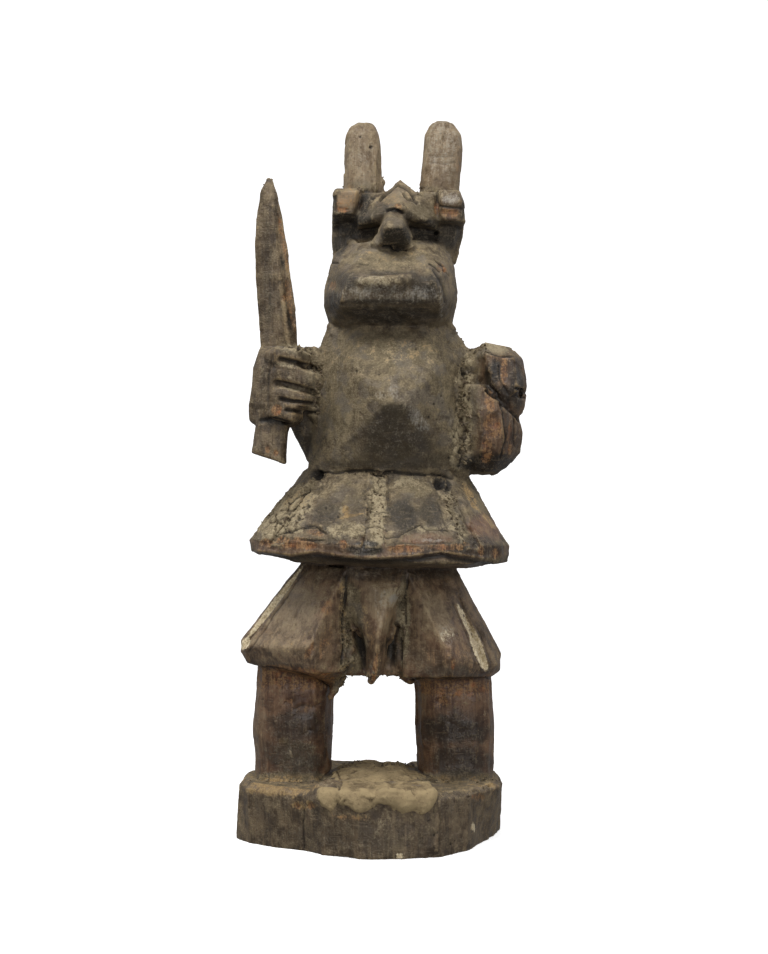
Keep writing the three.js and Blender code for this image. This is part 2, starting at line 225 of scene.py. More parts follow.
# Noise that shapes the surfaces: the size of its blobs across, to the front and up in millimetres, its seed,
# and where they aren't the usual ones, how many layers it has and how they fade.
noises = {
    "patchEdge": ((8, 8, 8), 31, 4, 0.65),
    "crustClouds": ((26, 26, 26), 35, 3, 0.6),
    "wornBehind": ((18, 18, 26), 37, 3, 0.6),
    "grain": ((2.6, 2.6, 46), 41, 3, 0.6),
    "swells": ((34, 34, 34), 51, 2),
    "roughness": ((7, 7, 7), 55, 3, 0.6),
    "rimSwells": ((22, 22, 12), 57, 2),
    "crustGrain": ((4.5, 4.5, 4.5), 61, 3, 0.65),
    "channelEdge": ((9, 9, 9), 71, 2),
    "gouges": ((4.2, 4.2, 4.2), 75, 3, 0.6),
    "plateEdge": ((4, 4, 4), 81, 2),
    "crackled": ((13, 13, 13), 85, 2),
    "flakeEdge": ((6, 6, 6), 87, 4, 0.7),
    "lineWander": ((7, 7, 7), 91, 2),
    "doughSwells": ((13, 13, 13), 101, 4),
    "doughGrain": ((3.4, 3.4, 3.4), 105, 2),
    "doughWander": ((9, 9, 9), 111, 3),
    "crumbPatchEdge": ((6, 6, 6), 121, 2),
    "crumbsBehind": ((30, 30, 14), 123, 2),
    "crumbShape": ((1.6, 1.6, 1.6), 131, 2),
    "crumbTone": ((5, 5, 5), 133),
}

carving = {
    "voxel": 0.00085,            # metres
    "trianglesKept": 197000,
    "detailPull": 0.00002,       # how hard the thinning is held off cracks, holes and edges
    "detailSteps": 8,            # how finely that pull is graded
    "softening": 3,              # rounds of smoothing that take the edge off the cuts
    "wornSoftening": 36,         # rounds in the places that are named in softened
    "softenedFrom": (18, 28),    # how far to the front those begin, millimetres
    "skirtMiddle": 8,            # across, millimetres
    "channels": 8,               # round the skirt
    "channelTurn": 93,           # degrees
    "channelEdge": (6.2, 7.6),   # where the crust in a channel ends, millimetres from its middle
    "channelShoulder": (8, 11),  # where the smoothing of its sides ends
}

# How deep or how high the relief is, in millimetres.
relief = {
    "marks": 0.7,            # adze and knife marks
    "swells": 0.8,
    "rimSwells": 1.3,
    "trodden": 1.4,          # the ground between the feet
    "crust": 0.7,
    "channelCrust": 0.9,
    "gouges": 1.1,
    "plates": 0.8,           # plates of cracked crust
    "plateSpread": 0.35,
    "plateCracks": 0.75,
    "bareWood": 0.5,
    "clay": 0.3,
    "beetleHoles": 1.3,
    "roughness": 0.3,        # everywhere, and more where roughIn says
    "plateEdge": 1.4,        # how far the plates' outlines wander
    "channelWander": 0.9,
    "lineWander": 0.9,
}

# Tool marks: the size of the facets across, to the front and up in millimetres, their seed and how much of
# them each region carries.
toolMarks = {
    "long": ((11, 11, 30), 11, {"horns": 1, "legs": 0.9, "knife": 0.5}),
    "middling": ((15, 15, 15), 12,
                 {"head": 0.9, "torso": 0.6, "trophy": 1, "skirt": 0.5, "breeches": 0.6, "knife": 0.5}),
    "broad": ((19, 19, 60), 13, {"base": 1.3}),
}

# How much of the other relief the regions carry.
grainIn = {"base": 0.32, "legs": 0.1, "horns": 0.08}
roughIn = {"skirt": 0.35, "rim": 0.6}
gougedIn = {"skirt": 0.75, "rim": 0.6, "breeches": 0.4}

# The plates that thick crust cracks into, the bored holes and the dough's flats: their size or how far apart
# they are in millimetres, and their seed.
plateCells = ((8, 8, 8), 14)
beetleCells = ((13, 13, 13), 15)
doughCells = ((11, 11, 11), 108)
beetleRadii = (0.5, 1.1)  # the floor and the edge of a hole

# Rolls of crust packed into the creases: from, to (across, front, up, in millimetres), radius and how many
# lumps.
crustRolls = {
    "betweenTorsoAndLeftArm": ((68, 26, 262), (69, 22, 338), 6.5, 14),
    "betweenTorsoAndRightArm": ((-37, 26, 290), (-36, 22, 336), 5.5, 11),
    "rightShoulder": ((-36, 20, 337), (-52, 20, 339), 4, 6),
    "leftShoulder": ((66, 18, 335), (80, 16, 338), 3.8, 6),
    "leftHornFoot": ((-17, 10, 448), (10, 12, 449), 3.6, 8),
    "leftHornSide": ((7, 12, 449), (9, 8, 458), 3, 4),
    "rightHornFoot": ((38, 12, 448), (62, 8, 449), 3.2, 8),
    "rightHornSide": ((39, 10, 448), (37, 6, 456), 2.6, 3),
    "neckLeft": ((-26, 22, 356), (-24, 30, 350), 4, 3),
    "neckRight": ((54, 22, 358), (56, 26, 350), 4, 4),
    "leftValley": ((-15.6, 43, 182), (-16, 42, 122), 3.4, 13),
    "rightValley": ((25, 43, 182), (24, 42, 138), 3, 10),
    "leftValleyHigh": ((-14.3, 46.5, 190), (-12.5, 46.5, 158), 4.4, 10),
    "leftValleyMiddle": ((-12, 45, 158), (-9.5, 44, 148), 4.4, 4),
    "leftValleyLow": ((-12.5, 41, 146), (-12, 41, 126), 3.6, 6),
    "rightValleyInner": ((22.8, 46, 184), (22.4, 45, 150), 3.8, 9),
    "noseFlankLeft": ((9.4, 49, 419), (5.8, 47, 409), 3.4, 9),
    "noseFlankLeftLow": ((5.4, 43, 413), (4.2, 44, 407), 3.2, 4),
    "noseFlankRight": ((25.2, 49, 419), (27.8, 47, 409), 2.9, 9),
    "noseFootLeft": ((5.4, 44, 409), (4.6, 49, 402), 3.6, 5),
    "noseFootRight": ((28, 44, 409), (29, 49, 402), 3.2, 5),
    "noseRoot": ((18, 27, 410), (18, 27, 434), 9, 6),
    "moundBackLeft": ((-22, -34, 45.5), (9, -37, 45.5), 3.2, 9),
    "moundBackRight": ((25, -34, 45), (32, -28, 46.5), 3.2, 4),
    "leftEyeFloor": ((-14, 19, 416), (6, 20, 417), 6, 7),
    "rightEyeFloor": ((32, 20, 417), (43, 21, 415), 5, 5),
    "crotchLeft": ((-28, 20, 99), (-18, 20, 114), 3, 7),
    "crotchLeftBehind": ((-27, 0, 102), (-19, 0, 114), 4.5, 4),
    "pendantTipWide": ((4.6, 58, 123), (3.4, 57.5, 118.5), 4.4, 4),
    "pendantTipPoint": ((3.2, 57.5, 117.5), (2.2, 57, 114.5), 2.8, 4),
    "crotchMiddle": ((-14, 26, 117), (20, 28, 117), 2.6, 11),
    "crotchRight": ((22, 26, 114), (29, 22, 111), 3.2, 4),
}
rollScatter = 0.3          # how far the lumps stray, times the radius
rollLumps = (0.6, 1.1)     # their half widths, times the radius


def startFigure():
    print("figure: copying the carved solid and packing crust into its creases")
    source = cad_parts["ikenga_figure"]
    piece = bpy.data.objects.new("carvedFigure", source.data.copy())
    bpy.context.scene.collection.objects.link(piece)
    piece.data.materials.clear()
    only(piece)
    bpy.ops.object.mode_set(mode="EDIT")
    bpy.ops.mesh.select_all(action="SELECT")
    bpy.ops.mesh.remove_doubles(threshold=0.00001)
    bpy.ops.mesh.normals_make_consistent(inside=False)
    bpy.ops.object.mode_set(mode="OBJECT")
    dice = np.random.default_rng(7)
    rolls = [piece]
    for start, end, radius, count in crustRolls.values():
        for i in range(count):
            at = np.array(start) + (np.array(end) - np.array(start)) * (i + 0.5) / count
            at = at + dice.uniform(-1, 1, 3) * radius * rollScatter
            rolls.append(addBall(at, radius * dice.uniform(*rollLumps, 3)))
    return joined(rolls)


# Where the regions begin and end going up, in millimetres, and how softly.
regionHeights = {
    "legs": (45, 116, 4),
    "breeches": (114, 194, 4),
    "skirt": (194, 256, 3),
    "rim": (197, 217, 2),
    "torso": (256, 352, 4),
    "head": (352, 449, 4),
    "knife": (262, 460, 2),
    "trophy": (250, 345, 3),
}

# Where they fade in otherwise, in millimetres.
regionEdges = {
    "baseTop": (40, 44),
    "hornFoot": (447, 453),
    "knifeSide": (38, 46),     # out to the figure's right
    "trophySide": (70, 78),    # out to its left
    "rim": (72, 78),           # out from the middle of the skirt
}


# Soft masks of the figure's regions, from the height and place of each point.
def regionsOf(points, normals):
    x, front, z = points.T
    level = {name: window(z, *heights) for name, heights in regionHeights.items()}
    rim = level["rim"] * smoothStep(np.hypot(x - 7, front), *regionEdges["rim"])
    rim = rim * (1 - smoothStep(normals[:, 2], 0.3, 0.6))
    knifeSide = smoothStep(-x, *regionEdges["knifeSide"]) * level["knife"]
    trophySide = smoothStep(x, *regionEdges["trophySide"]) * level["trophy"]
    body = (1 - knifeSide) * (1 - trophySide)
    return {
        "base": 1 - smoothStep(z, *regionEdges["baseTop"]),
        "legs": level["legs"],
        "breeches": level["breeches"],
        "skirt": level["skirt"] * (1 - rim),
        "rim": rim,
        "torso": level["torso"] * body,
        "head": level["head"] * body,
        "horns": smoothStep(z, *regionEdges["hornFoot"]) * body,
        "knife": knifeSide,
        "trophy": trophySide,
    }


# The sum of the regions by the shares that a dictionary gives them, on top of what holds everywhere.
def shareOf(region, shares, everywhere=0):
    return sum((share * region[name] for name, share in shares.items()), everywhere)


# Places where the knife's hard edges have gone soft, as patches in the picture.
softened = {
    "fist": (294, 384, 25, 30, 0, 1),
    "eyeLeft": (362, 231, 20, 16, 0, 0.5),
    "eyeRight": (424, 231, 20, 16, 0, 0.5),
    "nose": (394, 234, 22, 24, 0, 0.8),
    "brow": (394, 222, 52, 10, 0, 0.6),
    "mouth": (382, 275, 46, 12, 0, 1),
    "chin": (388, 299, 60, 10, 0, 0.5),
    "knifeTip": (271, 183, 9, 10, 0, 0.3),
    "pendant": (385, 625, 30, 45, 0, 0.25),
    "belly": (388, 420, 60, 50, 0, 0.25),
}

# What covers each region where nothing else is named: crust, dry tan wood, warm red, soot.
regionCoat = {
    "base": (0.3, 0.25, 0.1, 0.2),
    "legs": (0.1, 0.0, 0.7, 0.2),
    "breeches": (0.2, 0.35, 0.45, 0.0),
    "skirt": (0.5, 0.1, 0.2, 0.1),
    "rim": (0.1, 0.3, 0.6, 0.25),
    "torso": (0.62, 0.1, 0.0, 0.05),
    "head": (0.5, 0.2, 0.0, 0.1),
    "horns": (0.3, 0.75, 0.0, 0.0),
    "knife": (0.3, 0.15, 0.1, 0.2),
    "trophy": (0.25, 0.1, 0.5, 0.3),
}

# Bare red-brown wood where the dark skin has rubbed or flaked away.
bareWood = {
    "leftEarFace": (347, 200, 14, 13, 0, 0.42),
    "leftEarSpot": (344, 210, 8, 3, 0, 0.7),
    "rightEarEdge": (436.5, 206, 2.6, 10, 0, 0.75),
    "rightEarLower": (451, 213, 11, 4.5, 4, 0.65),
    "rightEarSpot": (446, 210.5, 3, 1.6, 0, 1),
    "crestTip": (398, 206, 4, 4, 0, 0.9),
    "crestFace": (391, 200, 9, 7, -20, 0.3),
    "leftArmWedge": (490, 402, 5, 12, -10, 0.85),
    "leftArmMiddle": (492, 428, 9, 15, 0, 0.95),
    "leftArmLow": (487, 452, 6, 12, 5, 0.8),
    "leftArmStreak": (510, 440, 3, 20, 0, 0.5),
    "trophyFace": (504, 370, 4, 15, 0, 0.75),
    "trophyBrow": (500, 358, 14, 4, 8, 0.35),
    "finger": (276.5, 410, 5.6, 6, 0, 1.15),
    "knifeRightEdge": (291, 305, 4, 34, -10, 0.6),
    "knifeHigh": (283, 240, 3, 30, -10, 0.7),
    "knifeSpot": (284, 298, 3, 4, 0, 0.9),
    "rimLeftCorner": (267, 543, 8, 4, 8, 0.75),
    "rimLeft": (298, 543, 22, 6, 3, 0.8),
    "rimLeftUpper": (317, 533, 11, 4, 14, 0.5),
    "rimSpot": (343, 545, 5, 5, 0, 0.95),
    "rimCentreRight": (404, 549, 20, 5, 0, 0.75),
    "rimRight": (445, 547, 22, 4, 0, 0.6),
    "rimRightEnd": (481, 551, 4, 6, 6, 0.7),
    "rimRightCorner": (495, 553, 4, 6, 0, 0.7),
    "leftLegTop": (290, 678, 42, 12, 4, 1.1),
    "leftLegTopSide": (262, 680, 8, 14, 0, 0.5),
    "leftLegFlake": (303, 709, 22, 4, -6, 0.35),
    "leftLegSpot": (290, 701, 5, 4, 0, 0.7),
    "rightLegTop": (455, 688, 42, 10, 0, 0.8),
    "rightLegSpot": (441, 702, 7, 6, 0, 0.8),
    "leftFoldTip": (310, 651, 4, 9, 25, 0.85),
    "leftFlapSpot": (328, 607, 6, 9, 20, 0.55),
    "leftInnerFlecks": (324, 645, 7, 22, 20, 0.4),
    "rightFlapTip": (453, 664, 2.6, 8, 0, 0.95),
    "rightFlapLow": (437, 660, 8, 8, 0, 0.3),
    "pendantKeel": (375, 668, 2.4, 13, 8, 1.5),
    "pendantSide": (391, 614, 7, 7, -30, 0.4),
    "pendantTip": (372, 640, 4, 14, 10, 0.4),
    "rightFlapCorner": (475, 670, 9, 5, 10, 0.4),
    "baseSpotLeft": (297, 806, 3.4, 3.4, 0, 0.9),
    "baseSpotLeftB": (311, 806, 4, 3.6, 0, 0.9),
    "baseTopRight": (478, 797, 8, 4, 0, 0.6),
    "moundEdge": (352, 818, 20, 2.6, 4, 0.45),
    "leftFlapFlecks": (285, 640, 34, 12, 10, 0.25),
    "rightFlapFlecks": (450, 655, 30, 14, 10, 0.3),
    "bellyFleck": (383, 345, 40, 8, 0, 0.15),
    "cheek": (441, 268, 8, 4, 45, 0.55),
    "cheekLeft": (333, 286, 4, 5, 0, 0.5),
    "pommelSpot": (267.5, 449, 2.4, 4, 0, 0.85),
    "pommelSpotLow": (276, 453, 2.6, 3, 0, 0.85),
    "hornRightEdge": (458, 162, 4, 20, 0, 0.4),
}

# Dry, pale brown wood with the dust rubbed in.
dryTan = {
    "leftEarTop": (347, 200, 15, 13, 0, 1),
    "crest": (398, 194, 16, 12, 0, 0.75),
    "knifeRight": (286, 265, 7, 70, -8, 0.65),
    "knifeTip": (270, 190, 6, 12, 0, 0.6),
    "jawRight": (448, 284, 4, 18, -8, 0.6),
    "noseFlankLeft": (375, 240, 6, 9, 20, 0.5),
    "noseFlankRight": (414, 240, 5, 8, -20, 0.5),
    "pendant": (384, 604, 15, 28, 0, 1.05),
    "rightFlapUpper": (434, 615, 14, 26, -10, 0.8),
    "upperLip": (388, 260, 44, 14, 0, 0.35),
    "rimEdge": (380, 536, 130, 5, 0, 0.4),
    "leftFlap": (292, 615, 26, 34, 30, 0.75),
    "leftFlapLow": (280, 643, 34, 10, 5, 0.8),
    "rightFlap": (438, 616, 14, 36, -20, 0.74),
    "baseTopEdge": (275, 790, 36, 6, 2, 1),
    "baseTopEdgeRight": (465, 786, 34, 5, -2, 1),
    "baseRightSide": (490, 800, 12, 10, 0, 0.4),
    "baseRight": (468, 820, 28, 22, 0, 0.4),
    "rightLegEdge": (422, 700, 7, 24, 0, 0.5),
    "leftLegEdge": (260, 720, 7, 50, 0, 0.45),
    "leftArmTop": (492, 350, 16, 7, 0, 0.8),
    "pommelFace": (270, 438, 12, 12, 0, 0.45),
}

# Ochre dust of palm oil and kola rubbed into edges and ledges.
ochreDust = {
    "baseTopLeft": (285, 785, 42, 6, 3, 1),
    "baseEdgeLeft": (275, 792, 36, 4, 4, 0.85),
    "baseTopRight": (462, 785, 40, 4, -2, 0.8),
    "baseLumps": (303, 805, 16, 5, 0, 0.7),
    "footLeft": (290, 778, 36, 5, 0, 0.5),
    "footRight": (458, 778, 40, 5, 0, 0.5),
    "moundFoot": (355, 818, 30, 4, 0, 0.4),
    "skirtRightEdge": (490, 522, 10, 3, 50, 0.7),
    "skirtLeft": (300, 500, 20, 10, -42, 0.4),
    "valleyLeft": (343, 620, 4, 40, -2, 0.5),
    "webLeft": (346, 676, 8, 16, 30, 0.6),
    "pendantKeel": (376, 668, 2.4, 12, 8, 1),
    "pendantFlecks": (366, 622, 5, 22, -12, 0.35),
    "rightFlap": (450, 664, 26, 7, 4, 0.2),
    "leftFlapFoot": (300, 650, 24, 5, 6, 0.2),
    "knifeEdge": (286, 265, 6, 70, -8, 0.35),
    "legEdge": (322, 720, 6, 40, 0, 0.3),
    "legSmear": (284, 741, 6, 4, -14, 0.8),
    "legSmearSmall": (310, 742, 3, 1.6, 0, 0.9),
    "leftLegTop": (290, 675, 38, 7, 3, 0.5),
    "rightLegTop": (455, 686, 40, 6, 0, 0.4),
    "leftEar": (347, 198, 12, 10, 0, 0.3),
    "rightLegScratches": (444, 702, 12, 8, 0, 0.45),
    "skirtScratch": (352, 516, 13, 1.6, -12, 0.9),
    "skirtLump": (346, 511, 4, 6, 0, 0.8),
    "skirtFarRight": (470, 496, 5, 16, -25, 0.6),
    "upperLip": (392, 256, 40, 10, 0, 0.25),
    "crestTip": (398, 206, 4, 3, 0, 0.8),
    "chest": (390, 352, 60, 14, 0, 0.25),
}

# Crust that has dried pale and flakes. The finger tops, the lit edge of the third finger and the pendant's
# top are painted highlights.
dryCrustAndHighlights = {
    "skirtLeft": (285, 512, 34, 21, -44, 1),
    "skirtLeftFoot": (277, 528, 24, 8, 0, 1),
    "skirtLumps": (346, 511, 8, 7, 0, 0.6),
    "skirtMiddleFoot": (346, 532, 20, 8, 0, 0.7),
    "lip": (376, 281, 28, 5, 0, 0.75),
    "skirtChannel": (377, 510, 9, 42, 0, 0.85),
    "skirtRightChannel": (453, 518, 7, 32, -20, 0.45),
    "skirtTop": (412, 484, 20, 8, 10, 0.55),
    "skirtBand": (418, 530, 30, 4, -4, 0.6),
    "leftShoulder": (497, 348, 14, 5, 6, 0.8),
    "rightShoulder": (300, 349, 18, 3, 8, 0.8),
    "fingerTops": (292, 366, 16, 2.4, 8, 0.6),
    "fingerThree": (296, 389, 18, 2, 4, 0.6),
    "valleyLeft": (344, 620, 4, 34, -2, 0.5),
    "valleyLow": (350, 660, 8, 8, 0, 0.5),
    "armSeam": (467, 400, 6, 54, 0, 0.7),
    "armSeamInner": (456, 442, 7, 28, 4, 0.75),
    "armSeamHigh": (460, 378, 6, 18, 0, 0.5),
    "valleyRight": (404, 622, 4.4, 42, 0, 0.75),
    "valleyLeftInner": (352, 600, 5, 26, -10, 0.4),
    "footLeft": (290, 783, 44, 3, 0, 0.6),
    "footRight": (458, 783, 40, 3, 0, 0.6),
    "chest": (400, 355, 40, 14, 0, 0.3),
    "pendantTop": (391, 595, 11, 9, -20, 0.75),
}

# White clay left in the grooves and rubbed about them.
whiteClay = {
    "leftFlapGroove": (273, 605, 2.8, 50, 38, 1),
    "leftFlapFoot": (245, 643, 4, 8, 30, 1),
    "rightFlapGrooveHigh": (465.5, 622, 2.6, 22, -24, 0.8),
    "rightFlapGroove": (478, 648, 5.4, 26, -20, 0.85),
    "legSmear": (310, 742, 3, 1.4, 0, 0.4),
    "baseSpeck": (473, 827, 2.4, 3.4, 0, 1),
    "baseSpeckLow": (399, 856, 5, 2.6, 0, 0.9),
    "flapRub": (447, 636, 8, 8, 30, 0.35),
}

# A grey-white bloom on rubbed, greasy places, together with painted highlights and sheen on the lip, chin,
# belly's point, ears, horns, pendant and flaps, and a painted glint on the pendant.
bloomAndPaintedSheen = {
    "lip": (378, 280, 24, 4.5, 0, 0.35),
    "chin": (390, 292, 56, 10, 0, 0.52),
    "bellyUnder": (398, 434, 40, 26, 0, 0.2),
    "bellyApexLeft": (382, 395, 6, 6, 0, 0.55),
    "bellyApexRight": (394, 391, 7, 9, 0, 0.55),
    "bellySide": (418, 420, 9, 16, -40, 0.6),
    "rightEarTop": (450, 199, 11, 7, 5, 0.65),
    "pendant": (386, 602, 18, 16, -20, 0.35),
    "pendantGlint": (394, 598, 6, 3.4, -25, 0.9),
    "rightFlap": (446, 636, 8, 14, -20, 0.5),
    "hornLeft": (361, 150, 18, 38, 0, 0.3),
    "hornRight": (443, 150, 20, 44, 0, 0.45),
    "pendantLow": (378, 622, 5, 12, 10, 0.4),
    "jawRightStreak": (441, 310, 2.5, 16, 0, 0.5),
    "chinSpeckle": (410, 292, 28, 9, 0, 0.5),
    "fistSide": (301, 378, 12, 4, 10, 0.3),
    "rimGrey": (366, 546, 16, 5, 0, 0.45),
    "skirtPatchEdge": (436, 541, 14, 1.6, 0, 0.9),
}

# Thick khaki crust of old offerings.
thickCrust = {
    "skirtLeft": (284, 515, 32, 24, -42, 1),
    "skirtLeftHigh": (305, 494, 18, 10, -40, 0.9),
    "skirtMiddle": (345, 500, 34, 28, 0, 0.62),
    "skirtChannel": (377, 510, 11, 42, 0, 1),
    "skirtRightChannel": (455, 520, 8, 34, -20, 1),
    "skirtTopMiddle": (415, 486, 22, 12, 20, 0.85),
    "skirtFarRight": (482, 510, 8, 26, -30, 0.7),
    "skirtFoot": (345, 530, 30, 10, 0, 0.85),
    "leftArmJoint": (464, 410, 10, 68, 0, 0.95),
    "rightArmJoint": (318, 380, 7, 44, 0, 0.85),
    "leftShoulder": (475, 350, 18, 9, 0, 0.9),
    "torsoLeft": (336, 402, 20, 42, 0, 0.9),
    "torsoRight": (442, 388, 14, 34, 0, 0.85),
    "rightShoulder": (300, 350, 26, 5, 8, 0.9),
    "chest": (385, 352, 66, 22, 0, 0.85),
    "upperLip": (388, 258, 48, 12, 0, 0.9),
    "brow": (420, 212, 14, 8, 30, 0.7),
    "browLeft": (368, 214, 12, 7, -30, 0.7),
    "leftHornFoot": (362, 186, 20, 5, 0, 0.6),
    "rightHornFoot": (430, 192, 14, 8, 0, 0.65),
    "valleyLeft": (346, 630, 6, 36, -4, 0.9),
    "valleyLeftLow": (352, 664, 12, 12, 20, 0.9),
    "valleyLeftInner": (354, 604, 8, 30, -14, 0.85),
    "noseFlankLeft": (375, 239, 7, 10, 20, 1),
    "noseFlankRight": (414, 239, 6, 9, -20, 1),
    "armSeamInner": (456, 430, 9, 40, 4, 0.9),
    "leftLegLow": (296, 756, 28, 18, 0, 0.5),
    "valleyRight": (404, 620, 6, 42, 0, 0.9),
    "diamond": (361, 648, 6, 18, 0, 0.9),
    "leftFootCrust": (290, 778, 40, 7, 0, 0.9),
    "rightFootCrust": (455, 778, 40, 8, 0, 0.85),
    "webLeft": (342, 684, 9, 12, 40, 0.9),
}

# Black, greasy or sooty areas, and painted shade: the dark under the jaw, nose, ears, brow, fist, arm, rim
# and hems, on the belly below its point, in the eye hollows, the mouth and the pendant's hollows.
sootAndPaintedShade = {
    "neck": (388, 336, 44, 8, 0, 0.4),
    "bellyUnder": (396, 444, 46, 26, 0, 0.62),
    "bellyFoot": (402, 458, 52, 12, 0, 0.55),
    "bellyShade": (391, 420, 24, 18, 0, 0.65),
    "bellyRight": (430, 430, 12, 30, -30, 0.35),
    "bellyCrease": (390, 464, 70, 6, 0, 0.6),
    "jawUnder": (388, 314, 62, 10, 0, 0.8),
    "chinFace": (388, 293, 56, 10, 0, 0.3),
    "chinEdge": (390, 301, 56, 3.5, 0, 0.7),
    "chinLeft": (346, 281, 14, 12, 0, 0.65),
    "chinRight": (424, 284, 20, 14, 10, 0.7),
    "mouth": (388, 273.5, 25, 3.6, 0, 0.65),
    "mouthLeft": (366, 268, 9, 4, 0, 0.35),
    "eyeLeft": (357, 232, 19, 9, 0, 1),
    "eyeRight": (429, 234, 18, 11, 10, 1),
    "noseFace": (394.5, 238.5, 14.5, 12, 0, 1.6),
    "noseBridge": (395, 219, 13, 8, 0, 0.35),
    "browShade": (379, 211, 12, 8, -30, 0.6),
    "browShadeRight": (408, 216, 6, 6, 40, 0.6),
    "browFace": (424, 211, 15, 11, 20, 0.42),
    "browFaceLeft": (360, 213, 17, 10, 0, 0.55),
    "browLeft": (364, 222, 16, 7, 10, 0.9),
    "browRight": (422, 225, 20, 6, -10, 0.9),
    "browInner": (377, 212, 8, 6, 0, 0.4),
    "leftEarUnder": (344, 224, 14, 14, 0, 1),
    "leftEarColumn": (340, 242, 8, 14, 0, 0.8),
    "leftEarInner": (365, 203, 6, 13, 10, 1),
    "rightEarSeam": (452, 208, 12, 2, 6, 0.5),
    "rightEarUnder": (450, 234, 13, 18, 0, 0.8),
    "earOutline": (335, 204, 3, 16, 0, 0.8),
    "rightEarSide": (462, 210, 4, 12, 0, 0.7),
    "jawLeftFacet": (334, 300, 9, 10, 0, 0.8),
    "jawRight": (446, 306, 10, 16, 0, 0.45),
    "crestUnder": (394, 210, 9, 3, 0, 0.9),
    "skirtPanelLeft": (326, 515, 16, 15, -20, 0.6),
    "skirtPanelLeftB": (354, 505, 8, 20, 0, 0.4),
    "skirtPanel": (404, 516, 17, 20, -20, 0.75),
    "skirtPanelRight": (430, 512, 13, 20, -10, 0.68),
    "skirtChannelShade": (458, 518, 12, 24, -20, 0.35),
    "rimMiddle": (364, 549, 22, 7, 0, 1.05),
    "rimLow": (380, 560, 130, 4, 2, 0.5),
    "rimRightDark": (478, 548, 30, 13, 0, 0.72),
    "rimRightShade": (432, 552, 44, 6, 0, 0.7),
    "rimFleckA": (330, 543, 6, 6, 0, 0.5),
    "rimFleckB": (428, 552, 6, 5, 0, 0.5),
    "breechesTop": (392, 574, 80, 8, 0, 0.6),
    "leftLegMiddle": (299, 726, 32, 19, 0, 0.7),
    "leftLegLow": (296, 758, 38, 22, 0, 0.65),
    "leftLegInner": (325, 720, 7, 50, 0, 0.5),
    "rightLegMiddle": (455, 729, 38, 18, 0, 0.8),
    "rightLegLow": (458, 762, 36, 20, 0, 0.8),
    "trophy": (493, 376, 8, 20, 10, 1.1),
    "trophyRight": (517, 386, 8, 22, 0, 0.85),
    "trophyLow": (506, 394, 11, 9, 30, 0.8),
    "trophyStreak": (511, 372, 3, 14, 6, 0.7),
    "trophyFace": (508, 368, 9, 18, 0, 0.6),
    "trophyTop": (514, 362, 12, 8, 20, 0.65),
    "knifeLeft": (268, 270, 6, 70, -2, 0.45),
    "knifeFleckA": (282, 262, 3, 9, -10, 0.8),
    "knifeFleckB": (290, 322, 3, 12, -8, 0.8),
    "knifeFleckC": (285, 288, 2.4, 7, -20, 0.7),
    "knifeFleckD": (277, 214, 2.4, 8, -10, 0.6),
    "handBack": (266, 380, 7, 26, 0, 0.4),
    "armMiddle": (506, 415, 5, 26, -10, 0.6),
    "baseFront": (370, 836, 120, 16, 0, 0.38),
    "rimUnder": (300, 556, 60, 4, 3, 0.6),
    "armOutside": (512, 445, 10, 24, 0, 0.5),
    "armUnder": (488, 463, 30, 11, 0, 1.1),
    "armInner": (476, 400, 5, 26, 0, 0.4),
    "leftFlapHem": (280, 665, 36, 4, 6, 0.4),
    "leftFlapInner": (322, 650, 8, 30, 20, 0.25),
    "pendantHollow": (393, 652, 7, 14, 0, 0.85),
    "pendantHollowLeft": (362, 649, 4, 18, -10, 0.9),
    "tongueSides": (374, 674, 9, 13, 0, 0.6),
    "skirtHollowLeft": (318, 475, 9, 6, 0, 0.9),
    "skirtHollowRight": (441, 485, 12, 8, 20, 0.95),
    "pendantRight": (392, 626, 4, 15, 20, 0.38),
    "rightHem": (455, 672, 44, 8, 0, 0.6),
    "rightFlapLow": (430, 658, 18, 13, 0, 0.4),
    "baseMiddle": (340, 828, 50, 12, 0, 0.35),
    "baseCorner": (490, 848, 16, 8, 0, 0.15),
    "fingerOne": (298, 356, 14, 5, 15, 0.4),
    "underFist": (302, 436, 12, 26, 0, 0.7),
    "handUnder": (276, 421, 18, 4, 6, 0.95),
}

# Warm, rubbed and slightly glossy wood.
rubbedRed = {
    "breeches": (380, 625, 130, 60, 0, 0.45),
    "leftFlapFold": (325, 600, 14, 24, 20, 0.7),
    "pendant": (382, 620, 18, 28, 0, 0.6),
    "skirtPatch": (428, 539, 30, 6, 0, 1),
    "rimRight": (480, 540, 24, 16, 0, 0.7),
    "rightFlap": (445, 635, 26, 34, -20, 0.7),
    "legTops": (375, 690, 130, 24, 0, 0.9),
    "leftArm": (494, 430, 26, 44, 0, 0.6),
    "trophy": (508, 372, 12, 22, 0, 0.6),
    "skirtRight": (486, 528, 16, 16, 30, 0.9),
    "skirtLeftSpot": (318, 533, 12, 6, 10, 0.7),
    "rightEar": (452, 214, 13, 7, 0, 0.8),
}

# Where the thinning leaves the triangles closest.
keptSharp = {
    "face": (394, 235, 74, 70, 0, 1),
    "hand": (290, 388, 34, 38, 0, 0.6),
    "trophy": (500, 385, 26, 40, 0, 0.8),
    "skirt": (380, 525, 130, 32, 0, 0.4),
}

# Where the crust has been scraped or handled away.
scraped = {
    "skirtRight": (489, 529, 24, 13, 10, 0.9),
    "skirtPatch": (428, 538, 28, 6, 0, 0.85),
    "pendant": (384, 610, 14, 26, 0, 0.7),
    "rightEar": (450, 206, 14, 14, 0, 0.7),
    "leftEar": (347, 200, 14, 13, 0, 0.75),
    "belly": (394, 438, 36, 26, 0, 0.15),
    "trophy": (505, 376, 18, 22, 0, 0.6),
}

